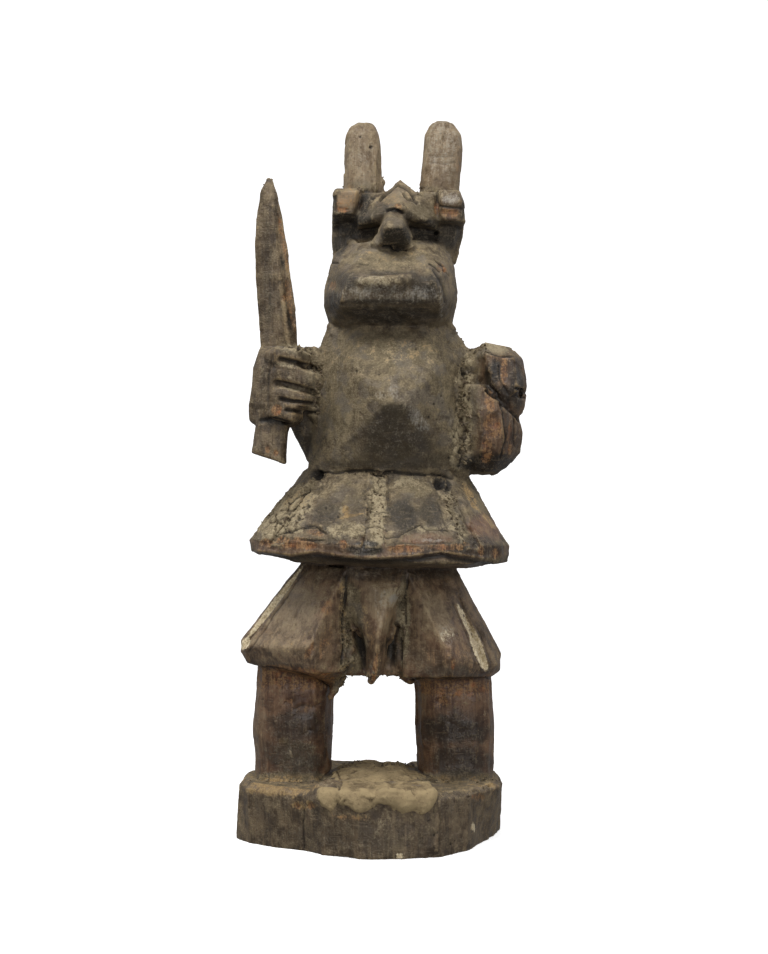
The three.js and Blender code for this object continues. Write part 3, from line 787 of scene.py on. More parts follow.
# Cuts, cracks and seams: a line through the picture, its half width in pixels and its depth in millimetres.
cuts = {
    "base": ([(304, 808), (303, 825), (304, 848)], 0.9, 1.4),
    "baseFine": ([(372, 822), (373, 840), (372, 857)], 0.9, 0.6),
    "baseRight": ([(438, 800), (440, 826), (438, 856)], 0.9, 0.5),
    "baseSplit": ([(399, 830), (400, 845), (399, 858)], 0.8, 0.4),
    "crestLeft": ([(380, 200), (387, 193), (396, 185)], 2.4, 2.6),
    "crestTop": ([(398, 185), (404, 187), (409, 191), (414, 198)], 2.1, 2.4),
    "crestHook": ([(404, 194), (407, 199), (413, 200), (417, 203)], 2.0, 2.8),
    "crestUnder": ([(386, 210), (394, 209), (403, 213)], 2.4, 2.2),
    "cheekUpper": ([(434, 260), (438, 263), (443, 266)], 1.4, 1.0),
    "cheekLower": ([(429, 264), (434, 267), (439, 272)], 1.4, 1.0),
    "jawPanel": ([(433, 270), (440, 281), (444, 292), (445, 302)], 2.0, 0.9),
    "cheekFine": ([(443, 270), (448, 276)], 1.0, 0.7),
    "leftJaw": ([(326, 266), (331, 263), (338, 263)], 1.3, 1.2),
    "mouth": ([(366, 272), (378, 274), (394, 274), (408, 272)], 5, 0.6),
    "mouthLeft": ([(360, 264), (368, 265)], 1.5, 0.7),
    "chinBreak": ([(402, 280), (406, 286), (403, 292)], 3.0, 0.6),
    "noseUnder": ([(384, 247), (389, 246), (393, 249), (398, 251), (406, 250)], 2.0, 1.6),
    "rightEar": ([(437, 193), (438, 206), (462, 209)], 1.2, 0.9),
    "slitA": ([(280, 359), (292, 362), (316, 369)], 3.8, 3.0),
    "slitB": ([(276, 383), (290, 386), (316, 393)], 4.2, 3.4),
    "slitC": ([(280, 399), (296, 402), (316, 404)], 3.2, 2.8),
    "slitD": ([(286, 410), (304, 412), (318, 412)], 2.8, 2.4),
    "handFoot": ([(261, 421), (276, 419), (291, 424)], 3.4, 1.3),
    "pommelFoot": ([(254, 455), (272, 461), (287, 465)], 1.6, 1.0),
    "handEdge": ([(272, 356), (268, 380), (268, 408)], 1.8, 0.6),
    "armSeam": ([(464, 360), (461, 370), (464, 379)], 1.8, 1.0),
    "armSeamFoot": ([(459, 448), (462, 456), (459, 466)], 1.8, 0.9),
    "armGrain": ([(496, 392), (504, 412), (506, 440), (500, 458)], 1.6, 1.2),
    "armGrainOuter": ([(508, 400), (514, 420), (514, 446)], 1.3, 0.9),
    "armWedge": ([(484, 392), (480, 410), (484, 430), (478, 450)], 1.3, 0.35),
    "trophyCrease": ([(487, 391), (497, 398), (508, 407), (520, 421)], 2.6, 2.2),
    "trophyCheek": ([(499, 366), (500, 380), (508, 395)], 1.4, 0.9),
    "trophyEye": ([(516, 388), (522, 390), (525, 393)], 2.2, 1.8),
    "trophyMouth": ([(516, 396), (524, 398)], 1.6, 1.2),
    "trophyTop": ([(488, 352), (500, 356), (512, 356)], 1.5, 1.0),
    "skirtCrust": ([(276, 538), (290, 533), (302, 529), (310, 527), (318, 528), (326, 534)], 1.4, 1.3),
    "skirtCrustHigh": ([(290, 506), (298, 499), (306, 495), (313, 494)], 1.2, 1.0),
    "skirtCrustLow": ([(280, 520), (286, 518), (292, 522)], 1.4, 1.0),
    "skirtPanelEdge": ([(385, 538), (400, 536), (408, 531), (420, 525), (426, 530), (448, 531)], 1.1, 0.9),
    "panelLeft": ([(365, 494), (367, 510), (364, 524)], 0.9, 0.5),
    "panelRight": ([(388, 490), (389, 506)], 0.9, 0.5),
    "channelA": ([(367, 497), (375, 494), (388, 498)], 0.9, 0.8),
    "channelB": ([(366, 512), (378, 516), (388, 513)], 0.9, 0.8),
    "channelC": ([(366, 530), (376, 527), (387, 531)], 0.9, 0.8),
    "rimFoot": (
        [(262, 555), (292, 559), (318, 556), (345, 561), (380, 562), (412, 560), (442, 556), (470, 561),
         (490, 565)], 3.6, 1.1),
    "rimChipA": ([(300, 539), (312, 541), (325, 540)], 1.4, 0.8),
    "rimChipB": ([(388, 545), (402, 543), (420, 544), (450, 543)], 1.2, 0.7),
    "channelRightA": ([(437, 500), (443, 520), (448, 532)], 1.0, 0.7),
    "skirtFlakeA": ([(312, 492), (304, 498), (300, 506), (294, 512)], 1.5, 1.3),
    "skirtFlakeB": ([(296, 516), (288, 522), (282, 530), (276, 536)], 1.3, 1.1),
    "skirtFlakeC": ([(306, 526), (314, 525), (320, 529)], 1.4, 1.1),
    "skirtTopHole": ([(372, 474), (380, 477), (386, 474)], 2.6, 2.0),
    "waist": ([(325, 473), (355, 471), (395, 472), (430, 475), (452, 478)], 2.4, 1.4),
    "leftValley": ([(347, 576), (345, 600), (342, 620), (344, 645), (342, 664)], 1.9, 1.5),
    "leafLeft": ([(357, 628), (361, 648), (364, 668)], 6, 2.6),
    "leafRight": ([(402, 600), (396, 622), (391, 645), (389, 664)], 6, 2.2),
    "clayLineLeft": ([(306, 570), (277, 610), (249, 651)], 1.0, 0.7),
    "clayLineRight": ([(461, 603), (479, 632), (492, 663)], 1.0, 0.6),
    "clayLineRightIn": ([(454, 605), (466, 634), (481, 669)], 1.0, 0.6),
    "rightValley": ([(407, 580), (405, 604), (406, 624)], 1.7, 1.2),
    "rightValleyLow": ([(401, 638), (402, 660)], 1.4, 1.0),
    "pendantHollow": ([(390, 640), (394, 655), (393, 668)], 4, 0.8),
    "rightHem": ([(412, 679), (445, 679), (492, 678)], 1.5, 1.2),
    "leftHem": ([(262, 667), (285, 670), (315, 679), (330, 686)], 1.4, 1.0),
    "leftKneeFlake": ([(296, 709), (303, 705), (312, 707), (319, 703)], 1.7, 0.5),
    "leftShinFlake": ([(304, 734), (309, 729), (316, 731)], 1.5, 0.4),
    "hornScoreA": ([(428, 156), (440, 157), (455, 156)], 0.9, 0.4),
    "hornScoreB": ([(429, 163), (444, 164), (456, 162)], 0.9, 0.4),
}

# Raised lines, the same way.
ridges = {
    "lip": ([(354, 278), (366, 281), (382, 282), (398, 279), (407, 276)], 8, 0.8),
    "cheekTopLeft": ([(350, 242), (364, 241), (377, 244)], 5, 1.0),
    "cheekTopRight": ([(411, 245), (424, 244), (437, 247)], 4.5, 0.8),
    "knifeSpine": ([(273, 206), (275, 233), (278, 267), (283, 302), (286, 326), (288, 344)], 4, 1.3),
    "noseTip": ([(393, 248), (400, 251), (411, 247)], 2.4, 1.6),
    "noseBridge": ([(391, 214), (391, 226)], 5, 0.8),
    "browRight": ([(409, 217), (416, 220), (426, 219)], 3.5, 0.7),
    "fingerTwoTop": ([(276, 366), (292, 368), (312, 374)], 2.6, 0.8),
    "pendantRidge": ([(388, 596), (382, 620), (377, 650)], 7, 0.7),
    "skirtScratch": ([(345, 518), (356, 516), (366, 513)], 1.0, 0.4),
    "rimLip": ([(262, 536), (300, 538), (330, 540)], 1.6, 0.6),
    "rimFoot": (
        [(258, 550), (290, 554), (318, 551), (345, 556), (380, 557), (412, 555), (442, 551), (470, 556),
         (494, 560)], 2.6, 1.0),
}

# Small holes that beetles and knots have left: the picture place, radius in pixels and depth in millimetres.
holes = {
    "hornKnot": (371, 147, 2.6, 1.2),
    "baseA": (451, 844, 1.5, 1.6),
    "baseB": (455, 841, 1.4, 1.6),
    "baseC": (434, 835, 1.4, 1.4),
    "baseD": (484, 788, 1.7, 1.6),
    "baseE": (489, 786, 1.5, 1.6),
    "baseF": (469, 797, 1.4, 1.4),
    "chest": (416, 349, 1.6, 1.1),
    "bellyLeft": (357, 371, 1.4, 0.9),
    "bellyMark": (379, 374, 1.4, 0.6),
    "skirtPit": (438, 486, 7, 2.4),
    "skirtPitRight": (446, 490, 4, 1.2),
    "skirtPitLeft": (319, 476, 7, 4.0),
    "skirtPitLeftB": (300, 520, 2.6, 1.6),
    "skirtPitLeftC": (281, 524, 2.4, 1.4),
    "skirtPitLeftD": (309, 507, 2.2, 1.4),
    "skirtDotA": (326, 508, 1.8, 0.8),
    "skirtDotB": (338, 517, 1.8, 0.8),
    "skirtBlobA": (346, 508, 2.8, -1.3),
    "skirtBlobB": (350, 515, 2.4, -1.1),
    "skirtBlobC": (341, 513, 2.0, -0.9),
    "skirtBlobD": (330, 497, 2.0, -0.9),
    "channelDot": (459, 518, 2.2, 1.2),
    "earHollow": (373, 198, 3, 1.4),
    "trophyEye": (521, 394, 2.6, 1.6),
    "seamA": (463, 374, 3.4, 2.0),
    "seamB": (458, 366, 1.6, 1.0),
    "seamC": (464, 396, 2.2, 1.4),
    "seamD": (457, 401, 1.8, 1.0),
    "seamE": (460, 421, 3.0, 1.8),
    "seamF": (467, 431, 1.7, 1.1),
    "seamG": (459, 452, 3.2, 1.8),
    "seamH": (453, 437, 1.8, 0.9),
    "seamI": (449, 458, 1.8, 1.0),
    "bellyPitA": (434, 404, 1.6, 0.8),
    "bellyPitB": (441, 396, 1.5, 0.8),
    "bellyPitC": (429, 417, 1.6, 0.7),
    "bellyPitD": (372, 411, 1.5, 0.7),
}

# Drying cracks on the side the photo does not show: a line across and up, in millimetres, its half width and
# its depth.
backCracks = {
    "base": ([(38, 0), (40, 16), (37, 28), (39, 42)], 1.3, 2.4),
    "baseLeft": ([(-34, 8), (-36, 24), (-33, 41)], 1.0, 1.4),
    "legLeft": ([(-30, 60), (-32, 84), (-29, 106)], 1.1, 1.5),
    "legRight": ([(44, 48), (46, 70), (43, 92)], 1.1, 1.5),
    "breeches": ([(16, 122), (18, 150), (15, 186)], 1.2, 2.0),
    "skirt": ([(-24, 214), (-21, 232), (-16, 252)], 1.2, 1.6),
    "skirtRight": ([(52, 212), (46, 236)], 1.1, 1.4),
    "torso": ([(4, 262), (7, 288), (3, 316), (6, 344)], 1.5, 2.6),
    "torsoFine": ([(30, 280), (32, 306), (29, 330)], 0.9, 1.1),
    "head": ([(24, 362), (21, 392), (25, 420), (22, 444)], 1.3, 2.0),
}

# Places where the crust is thick enough to crack like mud.
flakyPlaces = ("skirtLeft", "skirtLeftHigh", "skirtChannel", "skirtRightChannel", "skirtFoot", "armSeamInner")


# The ground between the feet, in millimetres.
ground = {
    "middle": 5,             # across
    "reach": (42, 86),       # half widths, across and to the front
    "heights": (28, 55),
    "sag": 6.5,
    "sagAcross": (6, 26),
    "sagBehind": (15, 50),   # from where it begins to where it is full
}


# The part of the ground between the feet that the offerings cover.
def trodden(points):
    wide, deep = ground["reach"]
    reach = np.hypot((points[:, 0] - ground["middle"]) / wide, points[:, 1] / deep)
    return (1 - smoothStep(reach, 0.85, 1.05)) * window(points[:, 2], *ground["heights"], 3)


# How far the ground between the feet sags towards the back.
def sag(across, front):
    return ground["sag"] * window(across, *ground["sagAcross"], 6) * smoothStep(-front, *ground["sagBehind"])


# How strongly the coats lie where no patch is named.
usualCover = {
    "crustClouds": 0.14,
    "dryOnGround": 0.75,
    "ochreOnLedges": 0.45,
    "crustOnLedges": 0.55,
    # black on faces turned down, as painted shade
    "paintedShadeUnderneath": 0.45,
    "bareBehind": 0.7,
}


# How the coats lie over the figure, from the regions and the named patches.
def coatsOf(points, normals, region):
    across, down = inPicture(points)
    facing = normals[:, 1]
    ragged = 0.5 * lumps(points, *noises["patchEdge"])
    named = {"crust": thickCrust, "tan": dryTan, "red": rubbedRed, "black": sootAndPaintedShade,
             "bare": bareWood, "pale": bloomAndPaintedSheen, "dry": dryCrustAndHighlights, "ochre": ochreDust}
    coats = {name: patched(across, down, facing, ragged, patches) for name, patches in named.items()}
    inFront = smoothStep(points[:, 1], 6, 13)  # the clay fills grooves in front and wraps round no side
    coats["clay"] = inFront * patched(across, down, facing + 0.35, 0.3 * ragged, whiteClay)
    for k, name in enumerate(("crust", "tan", "red", "black")):
        usual = sum(region[part] * regionCoat[part][k] for part in region)
        coats[name] = np.maximum(coats[name], usual)
    handled = patched(across, down, facing, ragged, scraped)
    for name in ("crust", "dry"):
        coats[name] = coats[name] * (1 - handled)
    clouds = lumps(points, *noises["crustClouds"])
    coats["crust"] = coats["crust"] + usualCover["crustClouds"] * clouds * (coats["crust"] > 0.05)
    upward = smoothStep(normals[:, 2], 0.3, 0.9)
    downward = smoothStep(-normals[:, 2], 0.3, 0.9)
    onGround = usualCover["dryOnGround"] * trodden(points) * (1 - region["legs"])
    coats["dry"] = np.maximum(coats["dry"], onGround)
    coats["ochre"] = np.maximum(coats["ochre"], usualCover["ochreOnLedges"] * upward * region["base"])
    coats["crust"] = np.maximum(coats["crust"], usualCover["crustOnLedges"] * upward)
    # Faces turned down get some of the black coat: painted shade.
    coats["black"] = np.maximum(coats["black"], usualCover["paintedShadeUnderneath"] * downward)
    behind = smoothStep(-facing, -0.2, 0.3)
    wornBehind = behind * smoothStep(lumps(points, *noises["wornBehind"]), 0.3, 0.45)
    wornBehind = usualCover["bareBehind"] * wornBehind * (region["skirt"] + region["legs"] + region["head"])
    coats["bare"] = np.maximum(coats["bare"], wornBehind)
    return coats


# How far each point is from the nearest of the channels that run down the skirt, in millimetres.
def channelDistance(points):
    across = points[:, 0] - carving["skirtMiddle"]
    spacing = 360 / carving["channels"]
    turn = np.degrees(np.arctan2(-points[:, 1], across)) + carving["channelTurn"]
    away = np.abs((turn + spacing / 2) % spacing - spacing / 2)
    return np.radians(away) * np.hypot(across, points[:, 1])


# Takes the hard edges off the cuts and lets the ground sag. Gives the regions, the skirt's slope and how far
# each point is from a channel.
def softenCuts(piece):
    points, normals, links = readMesh(piece)
    region = regionsOf(points, normals)
    across, down = inPicture(points)
    soft = 0.5 - 0.22 * np.clip(region["breeches"] + region["knife"] + region["base"], 0, 1)
    points = relax(points, links, soft, carving["softening"])
    fromChannel = channelDistance(points)
    onSlope = region["skirt"] * (normals[:, 2] > 0)
    forward = smoothStep(points[:, 1], *carving["softenedFrom"])
    gone = patched(across, down, forward, 0, softened)
    shoulder = onSlope * (1 - smoothStep(fromChannel, *carving["channelShoulder"]))
    gone = np.maximum(gone, 0.6 * shoulder)
    points = relax(points, links, 0.5 * gone, carving["wornSoftening"])
    points[:, 2] -= sag(points[:, 0], points[:, 1]) * window(points[:, 2], 28, 60, 12)
    writePoints(piece, points)
    return region, onSlope, fromChannel


# Each tool mark is a shallow dish that leans its own way.
def dishToolMarks(depth, points, region):
    for size, seed, shares in toolMarks.values():
        near, _, way, tilt = facets(points, size, seed)
        dish = near ** 2 - 0.35 + 0.9 * (way * tilt).sum(1)
        depth += shareOf(region, shares) * relief["marks"] * dish


# Raises the grain and makes the worn faces uneven.
def roughenWood(depth, points, normals, region):
    depth += shareOf(region, grainIn) * lumps(points, *noises["grain"])
    depth += relief["swells"] * lumps(points, *noises["swells"]) * (1 - 0.6 * region["knife"])
    depth += shareOf(region, roughIn, relief["roughness"]) * lumps(points, *noises["roughness"])
    depth += relief["rimSwells"] * region["rim"] * lumps(points, *noises["rimSwells"])
    depth -= relief["trodden"] * trodden(points) * smoothStep(normals[:, 2], 0.2, 0.6)


# Builds up the crust, with gouges in it and plates where it cracks like mud. Gives how dark both look.
def layCrust(depth, points, facing, region, coats, channelled):
    crust = np.clip(coats["crust"], 0, 1)
    crustGrain = 0.7 * lumps(points, *noises["crustGrain"]) + 0.3
    depth += crust * (1 + 0.5 * region["skirt"]) * relief["crust"] * crustGrain
    depth += relief["channelCrust"] * channelled
    gouges = smoothStep(lumps(points, *noises["gouges"]), 0.3, 0.5)
    gouges *= crust * shareOf(region, gougedIn)
    depth -= relief["gouges"] * gouges

    shaken = points + relief["plateEdge"] * lumps(points, *noises["plateEdge"])[:, None]
    near, second, _, plate = facets(shaken, *plateCells)
    crackle = 1 - smoothStep(second - near, 0.02, 0.11)
    crackle = crackle * smoothStep(lumps(points, *noises["crackled"]), -0.15, 0.25)
    across, down = inPicture(points)
    ragged = 0.6 * lumps(points, *noises["flakeEdge"])
    flaky = patched(across, down, facing, ragged, {name: thickCrust[name] for name in flakyPlaces})
    flaky = np.maximum(flaky, 0.9 * channelled)
    plates = (relief["plates"] + relief["plateSpread"] * plate[:, 0]) * smoothStep(flaky, 0.5, 0.62)
    depth += plates - relief["plateCracks"] * crackle * flaky
    coats["dry"] = coats["dry"] + 0.2 * plate[:, 1] * (flaky > 0.5)
    return 0.5 * gouges, 0.8 * crackle * flaky


# Cuts the named cracks, seams and holes, raises the ridges and bores the beetle holes. Gives how dark the
# lines look, on top of those so far.
def cutLines(depth, lines, points, facing, region):
    across, down = inPicture(points)
    shows = smoothStep(facing, -0.05, 0.12)
    wander = relief["lineWander"] * lumps(points, *noises["lineWander"])
    for line, width, deep in cuts.values():
        cut = alongLine(across + wander, down + wander, line, width) * shows
        depth -= deep * cut
        # Narrow cuts are marked dark for the material: dirt and painted shade in them.
        lines = np.maximum(lines, cut * min(1, deep) * (width < 4))
    for line, width, high in ridges.values():
        depth += high * alongLine(across, down, line, width) * shows
    for left, top, size, deep in holes.values():
        cut = (1 - smoothStep(np.hypot(across - left, down - top), 0.4 * size, size)) * shows
        depth -= deep * cut
        lines = np.maximum(lines, cut * (deep > 0))
    for line, width, deep in backCracks.values():
        cut = alongLine(points[:, 0] + wander, points[:, 2], line, width) * smoothStep(-facing, 0.1, 0.3)
        depth -= deep * cut
        lines = np.maximum(lines, cut)
    near, _, _, tilt = facets(points, *beetleCells)
    bored = 1 - smoothStep(near * beetleCells[0][0], *beetleRadii)
    bored = bored * (tilt[:, 0] > 0) * (region["base"] + region["horns"])
    depth -= relief["beetleHoles"] * bored
    return np.maximum(lines, bored)


# Makes one closed skin round all that the piece is made of.
def skinned(piece, voxel):
    applied(piece, "REMESH", mode="VOXEL", voxel_size=voxel * 1, adaptivity=0)


# How far each point stands out from the smoothed surface round it, in millimetres, below 0 in a hollow.
def standsOut(points, normals, links):
    return ((points - relax(points, links, 0.6, 16)) * normals).sum(1)


def thinned(piece, trianglesKept, **values):
    triangles = 2 * len(piece.data.polygons)
    print("thinning", piece.name, "from", triangles, "triangles")
    applied(piece, "TRIANGULATE")
    applied(piece, "DECIMATE", ratio=min(1, trianglesKept / triangles), **values)
    bpy.ops.object.shade_smooth()
    print("kept", len(piece.data.polygons), "triangles")


# Weights from 0, where the thinning leaves the triangles closest, to 1.
def holdDetail(piece, points, normals, lines, edge):
    across, down = inPicture(points)
    facing = smoothStep(normals[:, 1], -0.3, 0.2)
    close = patched(across, down, facing, 0, keptSharp)
    marked = np.maximum(lines, smoothStep(np.abs(edge), 0.15, 0.8))
    detail = np.clip(0.45 * marked + 0.4 * facing + 0.25 * close, 0, 1)
    group = piece.vertex_groups.new(name="thinHere")
    most = carving["detailSteps"]
    steps = np.round((1 - detail) * most).astype(int)
    for step in range(most + 1):
        group.add(np.flatnonzero(steps == step).tolist(), step / most, "REPLACE")
    return group.name


def carveFigure(piece):
    print("figure: smoothing the cuts")
    skinned(piece, carving["voxel"])
    region, onSlope, fromChannel = softenCuts(piece)

    print("figure: dishing the tool marks, laying the crust and cutting the lines")
    points, normals, links = readMesh(piece)
    facing = normals[:, 1]
    coats = coatsOf(points, normals, region)
    uneven = relief["channelWander"] * lumps(points, *noises["channelEdge"])
    channelled = onSlope * (1 - smoothStep(fromChannel + uneven, *carving["channelEdge"]))
    depth = np.zeros(len(points))
    dishToolMarks(depth, points, region)
    roughenWood(depth, points, normals, region)
    gouged, crackled = layCrust(depth, points, facing, region, coats, channelled)
    depth -= relief["bareWood"] * smoothStep(coats["bare"], 0.4, 0.55)
    depth -= relief["clay"] * smoothStep(coats["clay"], 0.4, 0.7) * region["breeches"]
    lines = cutLines(depth, gouged, points, facing, region)
    points = points + normals * depth[:, None]
    points[:, 2] = np.maximum(points[:, 2], 0)
    writePoints(piece, points)

    points, normals, links = readMesh(piece)
    edge = standsOut(points, normals, links)
    lines = np.maximum(lines, crackled)
    for name, values in {**coats, "edge": edge, "lines": lines}.items():
        writeField(piece, name, values)
    thinned(piece, carving["trianglesKept"], vertex_group=holdDetail(piece, points, normals, lines, edge),
            vertex_group_factor=carving["detailPull"])
    piece.vertex_groups.clear()


mound = {
    "voxel": 0.0011,
    "trianglesKept": 60000,
    "blobs": 80,
    "middle": (5, 8),         # across and front, millimetres
    "reach": (30, 60),        # half widths, across and front
    "height": 46.6,
    "blobRadii": (11, 16),
    "blobThickness": 4.6,
    "fall": 6,                # how much lower its edge is
    "thinning": 0.3,          # how much smaller the blobs at its edge are
    "softening": 20,
    # The dip that runs down it and a crack in its edge: lines with half widths and depths, as in cuts.
    "valley": ([(381, 764), (390, 774), (392, 785)], 7, 0.9),
    "crack": ([(337, 772), (341, 781), (339, 790)], 1.6, 1.1),
}

# The lobes of dough that hang over the front edge of the base: across, front, up, half width and half height,
# in millimetres.
frontLobes = {
    "outerLeft": (-25, 76, 39, 9.5, 9),
    "left": (-14, 82.5, 41, 8, 7.5),
    "middleLeft": (-4, 86, 40, 11, 9.5),
    "middle": (12, 88.5, 43.5, 9.5, 7),
    "middleRight": (22.5, 86, 39, 10, 8.5),
    "right": (34, 83.5, 38.5, 9.5, 9.5),
    "outerRight": (40, 81.5, 41, 6, 7.5),
}


def makeMound():
    print("mound: lumps of dried offering between the feet")
    dice = np.random.default_rng(11)
    balls = []
    for _ in range(mound["blobs"]):
        way, far = dice.uniform(0, 2 * math.pi), math.sqrt(dice.uniform(0, 1))
        across = mound["middle"][0] + mound["reach"][0] * far * math.cos(way)
        front = mound["middle"][1] + mound["reach"][1] * far * math.sin(way)
        wide, deep = dice.uniform(*mound["blobRadii"], 2) * (1 - mound["thinning"] * far)
        up = mound["height"] - mound["fall"] * far ** 2 + dice.uniform(-1, 1) - sag(across, front)
        balls.append(addBall((across, front, up), (wide, deep, mound["blobThickness"])))
    for across, front, up, wide, tall in frontLobes.values():
        # The lobe itself, its neck over the edge and its root on the ground.
        balls.append(addBall((across, front + 0.4, up - 1.2), (wide, 4.4, tall)))
        balls.append(addBall((across, front - 5, 42), (wide * 1.1, 8, 4.5)))
        balls.append(addBall((across * 0.9, front - 16, 44), (wide * 1.3, 13, 4.5)))
    piece = joined(balls)
    piece.name = "offeringMound"
    skinned(piece, mound["voxel"])
    points, normals, links = readMesh(piece)
    writePoints(piece, relax(points, links, 0.5, mound["softening"]))
    points, normals, links = readMesh(piece)
    depth = lumps(points, *noises["doughSwells"]) + 0.5 * lumps(points, *noises["doughGrain"])
    _, _, way, tilt = facets(points, *doughCells)
    depth += 0.8 * (way * tilt).sum(1)
    across, down = inPicture(points)
    wander = 1.5 * lumps(points, *noises["doughWander"])
    line, width, valleyDepth = mound["valley"]
    valley = alongLine(across + wander, down, line, width)
    line, width, crackDepth = mound["crack"]
    crack = alongLine(across + wander, down + wander, line, width)
    depth -= valleyDepth * valley + crackDepth * crack
    writePoints(piece, points + normals * depth[:, None])
    points, normals, links = readMesh(piece)
    writeField(piece, "edge", standsOut(points, normals, links))
    writeField(piece, "lines", np.maximum(0.2 * valley, crack))
    writeField(piece, "upright", smoothStep(normals[:, 1], 0.4, 0.9))
    thinned(piece, mound["trianglesKept"])
    return piece


crumbs = {
    "count": 1500,
    "sizes": (0.35, 1.4),    # radii in millimetres
    "lengths": (0.8, 2.7),   # times the radius
    "behind": 0.3,           # how thick they lie in places on the back
    "shaken": 0.25,          # how far their points are moved off the ball, millimetres
}

# Where loose crumbs and fibres of crust lie thickest, as patches in the picture.
crumbPlaces = {
    "armSeam": (465, 410, 7, 62, 0, 1),
    "rightArmJoint": (318, 385, 5, 44, 0, 0.9),
    "rightShoulder": (302, 351, 20, 4, 8, 0.8),
    "leftShoulder": (480, 350, 16, 7, 0, 0.8),
    "leftHornFoot": (364, 187, 18, 5, 0, 1),
    "leftHornSide": (379, 182, 5, 8, 0, 0.4),
    "rightHornFoot": (428, 190, 12, 6, 0, 0.8),
    "neckRight": (456, 340, 8, 10, 0, 0.7),
    "skirtLeft": (290, 515, 28, 20, -42, 0.3),
    "skirtChannel": (377, 505, 9, 36, 0, 0.3),
    "skirtRightChannel": (454, 515, 8, 30, -20, 0.5),
    "valleyLeft": (345, 630, 5, 34, -4, 0.9),
    "valleyLow": (346, 676, 12, 10, 30, 1),
    "valleyRight": (405, 610, 4, 30, 0, 0.7),
    "crotch": (378, 675, 34, 4, 0, 0.8),
    "feetLeft": (290, 780, 36, 3, 0, 0.5),
    "feetRight": (458, 780, 36, 3, 0, 0.6),
    "waist": (390, 474, 66, 3, 0, 0.5),
    "moundBack": (372, 765, 46, 5, 0, 0.15),
}


def makeCrumbs(pieces):
    print("crumbs: loose grains and fibres of crust along the seams")
    points, normals = (np.concatenate(kind) for kind in zip(*(readMesh(piece)[:2] for piece in pieces)))
    across, down = inPicture(points)
    shows = np.maximum(normals[:, 1], 0.6 * normals[:, 2])
    where = patched(across, down, shows, 0.3 * lumps(points, *noises["crumbPatchEdge"]), crumbPlaces)
    behind = smoothStep(-normals[:, 1], 0, 0.3)
    behind = behind * smoothStep(lumps(points, *noises["crumbsBehind"]), 0.35, 0.5) * crumbs["behind"]
    where = np.maximum(where, behind)
    dice = np.random.default_rng(5)
    chosen = dice.choice(len(points), crumbs["count"], p=where / where.sum())
    grain = addBall((0, 0, 0), (1, 1, 1), 1)
    bpy.ops.object.transform_apply(location=True, rotation=True, scale=True)
    grains = []
    for i in chosen:
        size = dice.uniform(*crumbs["sizes"]) * (0.6 + 0.4 * where[i])
        long = dice.uniform(*crumbs["lengths"])
        turn = Vector(dice.uniform(-1, 1, 3)).to_track_quat("Z", "Y").to_matrix().to_4x4()
        shape = Matrix.Diagonal((size, size * dice.uniform(0.6, 1), size * long, 1))
        place = Matrix.Translation(Vector((points[i] + normals[i] * size * 0.2) * (1, -1, 1) / 1000))
        mesh = grain.data.copy()
        mesh.transform(place @ turn @ shape)
        made = bpy.data.objects.new("grain", mesh)
        bpy.context.scene.collection.objects.link(made)
        grains.append(made)
    bpy.data.objects.remove(grain)
    piece = joined(grains)
    piece.name = "crustCrumbs"
    points, normals, _ = readMesh(piece)
    writePoints(piece, points + normals * crumbs["shaken"] * lumps(points, *noises["crumbShape"])[:, None])
    points, normals, _ = readMesh(piece)
    tone = 0.55 + 0.45 * softNoise(points, *noises["crumbTone"])
    writeField(piece, "crust", tone)
    writeField(piece, "tan", 0.4 * tone)
    writeField(piece, "black", 0.5 - 0.5 * tone)
    print("crumbs:", len(piece.data.polygons), "triangles")
    return piece


# Builds a material node by node. A value is a number, a colour or another node's output.
class Shades:
    def __init__(self, name):
        self.material = bpy.data.materials.new(name)
        self.material.use_nodes = True
        self.tree = self.material.node_tree
        self.surface = self.tree.nodes["Principled BSDF"]

    def add(self, kind, inputs=(), **settings):
        made = self.tree.nodes.new(kind)
        for name, value in settings.items():
            setattr(made, name, value)
        for key, value in dict(inputs).items():
            self.put(made.inputs[key], value)
        return made

    def put(self, socket, value):
        if isinstance(value, bpy.types.NodeSocket):
            self.tree.links.new(value, socket)
        else:
            socket.default_value = value

    def maths(self, operation, a, b=0.0):
        return self.add("ShaderNodeMath", {0: a, 1: b}, operation=operation).outputs[0]

    def mixed(self, a, shareA, b, shareB):
        return self.maths("ADD", self.maths("MULTIPLY", a, shareA), self.maths("MULTIPLY", b, shareB))

    def blend(self, factor, a, b):
        return self.add("ShaderNodeMix", {0: factor, 6: a, 7: b}, data_type="RGBA").outputs[2]

    def ramp(self, value, low, high, lowest=0.0, highest=1.0):
        kept = {0: value, 1: low, 2: high, 3: lowest, 4: highest}
        return self.add("ShaderNodeMapRange", kept, interpolation_type="SMOOTHSTEP").outputs[0]

    def noise(self, place, scale, detail=3.0, rough=0.55):
        kept = {"Vector": place, "Scale": scale, "Detail": detail, "Roughness": rough}
        return self.add("ShaderNodeTexNoise", kept).outputs[0]

    def stretched(self, place, scale):
        return self.add("ShaderNodeMapping", {"Vector": place, "Scale": scale}).outputs[0]

    def field(self, name):
        return self.add("ShaderNodeAttribute", attribute_name=name).outputs["Fac"]

    # How much a coat covers: its field, broken up by a pattern round 0.
    def cover(self, name, pattern, spread, low, high, most=1.0):
        return self.ramp(self.mixed(self.field(name), 1, pattern, spread), low, high, 0, most)

    # Joins the patterns to the shader.
    def finish(self, colour, roughness, height, values):
        bump = {"Strength": values["bump"], "Distance": values["bumpHeight"], "Height": height}
        self.put(self.surface.inputs["Base Color"], colour)
        self.put(self.surface.inputs["Roughness"], roughness)
        self.put(self.surface.inputs["Normal"], self.add("ShaderNodeBump", bump).outputs[0])
        self.surface.inputs["Specular IOR Level"].default_value = values["shine"]


